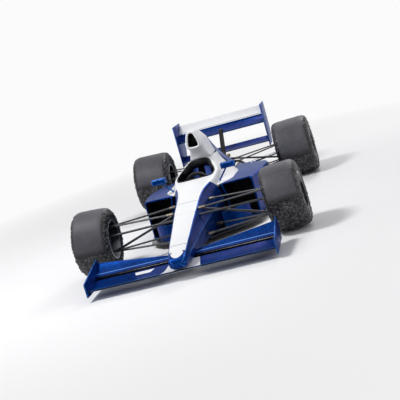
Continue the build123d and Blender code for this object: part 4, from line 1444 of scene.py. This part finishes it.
    def free(self, piece: bpy.types.Object) -> None:
        """Draws a stub axle in a little, so that it turns freely in the rim's bore.

        A point's distance from the axle, where it is under the bore's radius, is scaled down evenly.

        Args:
            piece: the upright with the stub.
        """
        place, points = self.place(), vertices(piece.data)
        axis, lead = place[:3, 0], points - place[:3, 3]
        along = (lead @ axis)[:, None] * axis
        off = lead - along
        near = np.linalg.norm(off, axis=1, keepdims=True) < self.bore
        points = place[:3, 3] + along + np.where(near, off * 0.965, off)
        piece.data.vertices.foreach_set("co", points.ravel())
        piece.data.update()

    def build(self) -> None:
        """Builds the tyre and what turns with it."""
        self.tyre()
        self.turning()


# ---------------------------------------------------------------- cockpit


@dataclass
class Cockpit:
    """The seat, belts, collar and steering wheel."""

    belt_width: float = 0.050
    belt_thickness: float = 0.003
    belt_x: float = 0.062
    slides: tuple = (38, 50)  # the points of the belt's path where its slides sit
    buckle: float = 0.032
    collar_half: float = 0.019
    wheel_hub: tuple = (0.81, 0.47)
    wheel_tilt: float = 12.0
    knobs: tuple = ((-0.05, 0.018), (0.05, 0.018), (-0.05, -0.018), (0.05, -0.018), (0.0, 0.03))

    def belts(self) -> None:
        """Two shoulder belts with pads and slides, meeting at a round buckle."""
        for side, sign in SIDES:
            x, thin = self.belt_x, self.belt_thickness / self.belt_width
            points = np.array([
                (x * 0.8, 1.235, 0.585), (x, 1.205, 0.568), (x * 1.08, 1.16, 0.50), (x * 1.05, 1.09, 0.385),
                (x * 0.9, 1.01, 0.262), (x * 0.5, 0.93, 0.165), (0.022, 0.905, 0.142),
            ]) * [sign, 1, 1] + [0, FRONT_AXLE, 0]
            path = spline(points, 60)
            strap = cord_piece(f"shoulder_belt_{side}", path, self.belt_width / 2, 16, thin)
            dress(strap, WEBBING)
            raised = path[8:34] + [0, -0.004, 0.003]
            pad = cord_piece(f"shoulder_pad_{side}", raised, self.belt_width * 0.62, 16, 0.16)
            dress(pad, WEBBING)
            for index, at in enumerate(self.slides):
                raised = path[at : at + 3] + [0, -0.003, 0.003]
                slide = cord_piece(f"belt_slide_{side}_{index + 1}", raised, 0.031, 16, 0.22)
                dress(slide, STEEL)
        centre = np.array([0, FRONT_AXLE + 0.895, 0.14])
        rise = np.array([(0, 0.0, 0.0), (0, -0.004, 0.010), (0, -0.008, 0.020)])
        buckle = cord_piece("belt_buckle", centre + rise, self.buckle, 24)
        dress(buckle, STEEL)
        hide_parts("harness")

    def collar(self) -> None:
        """The padded collar: a tall oval carried along the back of the opening, full at its middle."""
        points = np.array([
            (0.150, 0.985, 0.574), (0.140, 1.03, 0.586), (0.118, 1.11, 0.604), (0.094, 1.18, 0.620),
            (0.050, 1.204, 0.628), (0.0, 1.206, 0.630),
        ])
        whole = np.concatenate([points, (points * [-1, 1, 1])[:-1][::-1]]) + [0, FRONT_AXLE, 0]
        swell = np.maximum(np.sin(np.linspace(0, np.pi, 90)) ** 0.18, 0.2)
        piece = cord_piece("collar_pad", spline(whole, 90), self.collar_half * swell, 20, 2.0)
        dress(piece, COLLAR_FOAM)
        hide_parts("headrest")

    def hand_wheel(self) -> None:
        """The steering wheel, with a panel of round knobs."""
        from_solid("steering_wheel", "hand_wheel", GRIP, 0.005)
        hub = np.array([0, FRONT_AXLE + self.wheel_hub[0], self.wheel_hub[1]])
        tilt = math.radians(self.wheel_tilt)
        axis = np.array([0, math.cos(tilt), math.sin(tilt)])
        up = np.array([0, -math.sin(tilt), math.cos(tilt)])
        for index, (x, z) in enumerate(self.knobs):
            base = hub + axis * 0.006 + up * z + [x, 0, 0]
            knob = cord_piece(f"knob_{index + 1}", base + np.outer([0, 0.007, 0.012], axis), 0.007, 14)
            dress(knob, STEEL, body="steering_wheel")

    def build(self) -> None:
        """Builds what the driver touches."""
        from_solid("seat", "seat_shell", SEAT_LEATHER, 0.007)
        self.belts()
        self.collar()
        self.hand_wheel()


# ---------------------------------------------------------------- wings and running gear


@dataclass
class Wings:
    """The front and rear wings, with bands of painted shade and painted highlight along their edges."""

    @staticmethod
    def banded(name: str, start: float, *bands: tuple, scheme: Scheme = Scheme.NONE) -> Paint:
        """Blue paint with bands across the car, each from and to a distance behind a start: the dark ones
        painted shade, the light ones painted highlight.
        """
        from_start = tuple((start + low, start + high, shade) for low, high, shade in bands)
        return Paint(name, scheme, bands=from_start)

    def build(self) -> None:
        """Paints the solids' own forms, with bands of painted shade and painted highlight, and fills the
        slots before the flaps.
        """
        front, rear, lit, dark = WING_FRONT, REAR_WING_FRONT, PAINTED_HIGHLIGHT_BAND, PAINTED_SHADE_BAND
        # dark bands are painted shade under leading edges and before the flaps; light bands are painted
        # highlights
        edges = (-0.01, 0.004, dark), (0.004, 0.012, lit), (0.258, 0.382, dark)
        plane = self.banded("front_wing_paint", front, *edges, scheme=Scheme.WING)
        flap = self.banded("front_flap_paint", WING_SLOT, (-0.01, 0.008, dark), (0.042, 0.049, lit))
        main = self.banded("rear_wing_paint", rear, (-0.01, 0.005, dark), (0.005, 0.018, lit))
        beam = self.banded("beam_wing_paint", rear, (-0.03, -0.015, dark), (-0.015, -0.004, lit))
        # the front bar is black, a painted shade in the slot; the rear one is blue
        self.slot_bar("front", WING_SLOT + 0.014, 0.1000, 0.785, DUCT_BLACK)
        self.slot_bar("rear", rear + 0.258, 0.7600, 0.540, BLUE_PAINT)
        for node, name, finish, bevel in (
            ("front_wing", "front_plane", plane, 0.0015), ("front_flaps", "front_flap_skins", flap, 0.0012),
            ("front_end_plates", "front_side_plates", PLATE_PAINT, 0.004),
            ("rear_wing", "rear_plane", main, 0.0015), ("rear_flap", "rear_flap_skin", FLAP_PAINT, 0.0015),
            ("beam_wing", "beam_plane", beam, 0.0015),
            ("rear_end_plates", "rear_side_plates", PLATE_PAINT, 0.004),
            ("rear_wing_pillar", "pillar_skin", DUCT_BLACK, 0.006),
        ):
            from_solid(node, name, finish, bevel)

    def slot_bar(self, end: str, y: float, z: float, half: float, finish: object) -> None:
        """A bar that fills the slot between a wing and its flap; the black one at the front is a painted
        shade.

        Args:
            end: front or rear.
            y: the slot's place.
            z: its height.
            half: half its length.
            finish: its paint.
        """
        path = np.array([(x, y, z) for x in np.linspace(-half, half, 5)])
        bar = cord_piece(f"{end}_slot_bar", path, 0.020, 16, 0.42)
        dress(bar, finish, 50.0)


@dataclass
class Chassis:
    """The floor, engine, gearbox, suspension and the small pieces on them."""

    pane: tuple = ((0.284, 0.583), (0.412, 0.583), (0.412, 0.627), (0.284, 0.627))
    pane_at: tuple = (0.7345, 0.7365)
    pane_corner: float = 0.012

    def build(self) -> None:
        """Dresses each solid in its own metal or cloth."""
        for node, finish, bevel in (
            ("undertray", CARBON, 0.003), ("diffuser", CARBON, 0.0015), ("bargeboards", BLUE_PAINT, 0.002),
            ("radiators", CORE, 0.0), ("engine", CASTING, 0.008), ("gearbox", CASTING, 0.004),
            ("exhausts", HEATED, 0.002), ("driveshafts", STEEL, 0.0), ("rear_uprights", CASTING, 0.003),
            ("front_upper_wishbones", TUBE_PAINT, 0.0), ("front_lower_wishbones", TUBE_PAINT, 0.0),
            ("front_pushrods", TUBE_PAINT, 0.0), ("rear_upper_wishbones", TUBE_PAINT, 0.0),
            ("rear_lower_wishbones", TUBE_PAINT, 0.0), ("rear_pushrods", TUBE_PAINT, 0.0),
            ("front_upright_left", CASTING, 0.003), ("front_upright_right", CASTING, 0.003),
            ("steering_rack", TUBE_PAINT, 0.0), ("rear_light", LENS, 0.003), ("mirrors", PLATE_PAINT, 0.004),
        ):
            from_solid(node, f"{node}_skin", finish, bevel)
        self.mirror_glass()

    def mirror_glass(self) -> None:
        """A silvered pane behind each mirror's head."""
        ring, _ = rounded(np.array([self.pane]), np.array([self.pane_corner]), 6)
        rows = np.array(self.pane_at)[:, None] + FRONT_AXLE
        for side, sign in SIDES:
            grid = sections(np.repeat(ring, 2, axis=0), rows, sign)
            pane = Sheet(grid, np.zeros((1, 1)), np.zeros((1, 1))).build(f"mirror_glass_{side}")
            dress(pane, GLASS, 30.0)


@dataclass
class Fasteners:
    """Quarter turn studs along the edges of the painted panels."""

    radius: float = 0.0075
    height: float = 0.0030
    sides: int = 12

    def rows(self) -> list[tuple[str, Array, tuple]]:
        """The shells, the points that look at them and the directions they look in."""
        made, grid = [], self.grid
        for side, sign in SIDES:
            inward, far, pod = (-sign, 0.0, 0.0), [sign * 1.2], f"pod_shell_{side}"
            made += [
                ("nose_shell", grid(far, [-0.185, -0.80, -0.40], [0.16, 0.22]), inward),
                ("tub_shell", grid(far, [-0.115, 0.105], [0.20, 0.32]), inward),
                (pod, grid(far, np.linspace(0.80, 2.15, 5), [0.10, 0.35]), inward),
                (pod, grid([0.48 * sign], np.linspace(0.80, 2.15, 4), [2.0]), (0, 0, -1.0)),
                ("cover_shell", grid(far, np.linspace(1.70, 2.40, 5), [0.432]), inward),
                ("rear_side_plates", grid(far, [3.05, 3.33], [0.50, 0.70, 0.86]), inward),
                ("front_side_plates", grid(far, [-0.80, -0.55], [0.07, 0.13]), inward),
            ]
        return made

    @staticmethod
    def grid(xs: list, ys: object, zs: list) -> Array:
        """Every combination of the given places, with y behind the front axle."""
        x, y, z = np.meshgrid(xs, np.asarray(ys) + FRONT_AXLE, zs, indexing="ij")
        return np.stack([x.ravel(), y.ravel(), z.ravel()], 1)

    def build(self) -> None:
        """Finds each stud's place on its shell and turns a low dome there, about the shell's normal."""
        places, normals = [], []
        for name, points, direction in self.rows():
            tree = BVHTree.FromObject(bpy.data.objects[name], bpy.context.evaluated_depsgraph_get())
            for point in points.tolist():
                spot, normal, _, _ = tree.ray_cast(Vector(point), Vector(direction))
                if spot is not None:
                    places.append(spot)
                    normals.append(normal if normal.dot(Vector(direction)) < 0 else -normal)
        places, normals = np.array(places), np.array(normals)
        reach = self.radius * np.array([0.6, 1.0, 0.96, 0.7, 0.28])
        rise = self.height * np.array([-0.5, -0.5, 0.55, 0.95, 1.0])
        turn = full_turn(self.sides)[:, None]
        helper = np.where(np.abs(normals[:, 2:]) > 0.9, [[0.0, 1.0, 0.0]], [[0.0, 0.0, 1.0]])
        first = unit(np.cross(normals, helper))
        second = np.cross(normals, first)
        ring = np.cos(turn) * first[:, None] + np.sin(turn) * second[:, None]
        reach, rise = reach[None, :, None, None], rise[None, :, None, None]
        points = places[:, None, None] + reach * ring[:, None] + rise * normals[:, None, None]
        count, rings = points.shape[:2]
        ids = np.arange(count * rings * self.sides).reshape(count, rings, self.sides)
        low, high = ids[:, :-1], ids[:, 1:]
        quads = np.stack([low, np.roll(low, -1, 2), np.roll(high, -1, 2), high], -1).reshape(-1, 4)
        caps = np.concatenate([ids[:, 0, ::-1], ids[:, -1]])
        corners = np.concatenate([quads.ravel(), caps.ravel()])
        sizes = np.concatenate([np.full(len(quads), 4), np.full(len(caps), self.sides)])
        piece = mesh_object("panel_studs", points.reshape(-1, 3), corners, sizes, np.zeros((len(corners), 2)))
        dress(piece, STUD, 35.0)


@dataclass
class Fittings:
    """What sits round the gearbox and at the tubes' roots: sleeves, dampers and coolant hoses."""

    sleeve: float = 0.0215
    damper_x: float = 0.053
    damper_z: float = 0.4245
    damper_at: tuple = (1.392, 1.43, 1.52, 1.60)
    spring_at: tuple = (1.412, 1.568)
    spring_radius: float = 0.019
    turns: float = 8.0
    wire: float = 0.0035
    hose_radius: float = 0.013

    def sleeves(self) -> None:
        """A clamped sleeve round each suspension tube where it enters the body."""
        high, low = (0.773, -1.260, 0.413), (0.787, -1.260, 0.185)
        ends = np.array([
            [high, (0.099, -1.322, 0.396)], [high, (0.148, -0.960, 0.396)],
            [low, (0.118, -1.322, 0.150)], [low, (0.152, -0.960, 0.150)],
            [(0.745, 1.426, 0.430), (0.101, 1.130, 0.372)], [(0.745, 1.494, 0.430), (0.083, 1.520, 0.372)],
            [(0.751, 1.426, 0.242), (0.101, 1.130, 0.178)], [(0.751, 1.494, 0.242), (0.083, 1.520, 0.178)],
        ])
        steps = np.array([0.020, 0.024, 0.046, 0.052, 0.056, 0.078])
        girth = np.array([0.9, 1.0, 1.0, 0.86, 0.92, 0.86])
        for index, (outer, inner) in enumerate(ends):
            path = inner + unit(outer - inner) * steps[:, None]
            for side, sign in SIDES:
                name = f"tube_sleeve_{side}_{index + 1}"
                piece = cord_piece(name, path * [sign, 1, 1], self.sleeve * girth, 18, 0.62)
                dress(piece, FITTING, 35.0)

    def dampers(self) -> None:
        """Two dampers on the gearbox, each in a spring whose wire climbs evenly round the damper's axis."""
        height = self.damper_z
        turn = np.linspace(0, 2 * np.pi * self.turns, int(self.turns * 20))
        for side, sign in SIDES:
            x = self.damper_x * sign
            rod = np.array([(x, y, height) for y in self.damper_at])
            piece = cord_piece(f"damper_{side}", rod, np.array([0.008, 0.0115, 0.0115, 0.009]), 16)
            dress(piece, STEEL, 35.0)
            wire = np.column_stack([
                x + self.spring_radius * np.cos(turn), np.linspace(*self.spring_at, len(turn)),
                height + self.spring_radius * np.sin(turn),
            ])
            spring = cord_piece(f"damper_spring_{side}", wire, self.wire, 8)
            dress(spring, SPRING)

    def hoses(self) -> None:
        """A coolant hose from each radiator's duct over the exhaust to the gearbox, clamped at its end."""
        for side, sign in SIDES:
            points = np.array([
                (0.36, 0.90, 0.235), (0.345, 0.99, 0.262), (0.30, 1.065, 0.325), (0.235, 1.118, 0.378),
                (0.165, 1.150, 0.392), (0.105, 1.168, 0.380), (0.070, 1.176, 0.366),
            ]) * [sign, 1, 1]
            path = spline(points, 60)
            hose = cord_piece(f"coolant_hose_{side}", path, self.hose_radius, 16)
            dress(hose, HOSE)
            clamp = cord_piece(f"hose_clamp_{side}", path[47:50], self.hose_radius + 0.0018, 18)
            dress(clamp, STEEL, 35.0)

    def build(self) -> None:
        """Builds the fittings."""
        self.sleeves()
        self.dampers()
        self.hoses()


# ---------------------------------------------------------------- studio


@dataclass
class Studio:
    """The floor, the lamps and the camera."""

    azimuth: float = 10.7
    elevation: float = 8.6
    roll: float = -15.9
    distance: float = 9.0
    focus: tuple = (0.0, 0.04, 0.35)
    focal: float = 871.1
    centre: tuple = (208.7, 186.4)
    picture: float = 400.0
    daylight: float = 0.42
    floor_half: float = 40.0
    floor_fade: tuple = (3.6, 3.0)  # how far out the floor turns plain white, and over what distance
    lights: tuple = (
        ("key", (-2.5, -2.5, 6.0), 265.0, 1.6), ("fill", (5.0, -4.5, 2.5), 45.0, 3.0),
        ("back", (2.0, 5.0, 5.0), 130.0, 2.5),
    )

    def floor(self) -> None:
        """A wide pale floor and a pale sky that looks white to camera, gloss and glass."""
        bench = Bench("floor_pale")
        cloud = bench.noise(0.6, 2.0)
        x, y, _ = bench.split(bench.spot())
        far = (x * x + (y * y) * 0.5).root().above(*self.floor_fade)
        matt = bench.node("ShaderNodeBsdfPrincipled", {}, {
            "Base Color": bench.mix(cloud, tint("f0f0f1"), tint("f6f6f7")), "Roughness": 0.9,
            "Specular IOR Level": 0.0,
        })
        glow = bench.node("ShaderNodeEmission", {}, {"Color": STUDIO_WHITE, "Strength": 1.0})
        share = far * bench.seen()
        both = bench.node("ShaderNodeMixShader", {}, {0: share, 1: matt.outputs[0], 2: glow.outputs[0]})
        bench.node("ShaderNodeOutputMaterial", {}, {"Surface": both.outputs[0]})
        grid = self.floor_half * np.array([(-1.0, -1, 0), (1, -1, 0), (1, 1, 0), (-1, 1, 0)])
        piece = mesh_object("floor", grid, np.arange(4), np.array([4]), np.zeros((4, 2)))
        piece.data.materials.append(bench.material)
        world = bpy.data.worlds.new("studio")
        bpy.context.scene.world = world
        world.use_nodes = True
        sky = Bench("sky", world.node_tree)
        strength = sky.seen() * (1.0 - self.daylight) + self.daylight
        back = sky.node("ShaderNodeBackground", {}, {0: STUDIO_WHITE, 1: strength})
        sky.node("ShaderNodeOutputWorld", {}, {0: back.outputs[0]})

    def lamps(self) -> None:
        """Three soft lamps: a key above the front left, a fill and one from behind."""
        for name, spot, power, size in self.lights:
            data = bpy.data.lights.new(name, "AREA")
            data.energy, data.size = power, size
            lamp = placed(name, data)
            lamp.location = spot
            lamp.rotation_euler = (Vector((0, 0, 0.3)) - Vector(spot)).to_track_quat("-Z", "Y").to_euler()

    def camera(self) -> None:
        """The camera: it looks back along its own axis, turned by its roll, with a small shift."""
        az, el, roll = (math.radians(v) for v in (self.azimuth, self.elevation, self.roll))
        back = Vector((math.sin(az) * math.cos(el), -math.cos(az) * math.cos(el), math.sin(el)))
        right = Vector((math.cos(az), math.sin(az), 0.0))
        up = back.cross(right)
        side = right * math.cos(roll) + up * math.sin(roll)
        top = up * math.cos(roll) - right * math.sin(roll)
        data = bpy.data.cameras.new("camera")
        data.sensor_width = 36.0
        data.lens = data.sensor_width * self.focal / self.picture
        data.shift_x = (self.picture / 2 - self.centre[0]) / self.picture
        data.shift_y = (self.centre[1] - self.picture / 2) / self.picture
        camera = placed("camera", data)
        matrix = Matrix((side, top, back)).transposed().to_4x4()
        matrix.translation = Vector(self.focus) + back * self.distance
        camera.matrix_world = matrix
        bpy.context.scene.camera = camera

    def build(self) -> None:
        """Sets up the studio."""
        bpy.context.scene.view_settings.view_transform = "Standard"
        self.floor()
        self.lamps()
        self.camera()


def main() -> None:
    """Builds the car's pieces in order, then the studio."""
    logging.basicConfig(level=logging.INFO, format="%(message)s")
    Tub().build()
    Airbox().build()
    Skirt().build()
    Cover().build()
    for side, _ in SIDES:
        Pod(side).build()
    wheels = [Wheel(end, side, *sizes) for end, sizes in WHEEL_SIZES.items() for side, _ in SIDES]
    for wheel in wheels:
        wheel.build()
    Cockpit().build()
    Wings().build()
    Chassis().build()
    for wheel in wheels:
        upright = f"front_upright_{wheel.side}_skin" if wheel.end == "front" else "rear_uprights_skin"
        wheel.free(bpy.data.objects[upright])
    Fasteners().build()
    Fittings().build()
    Studio().build()
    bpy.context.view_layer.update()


if __name__ == "__main__":
    main()
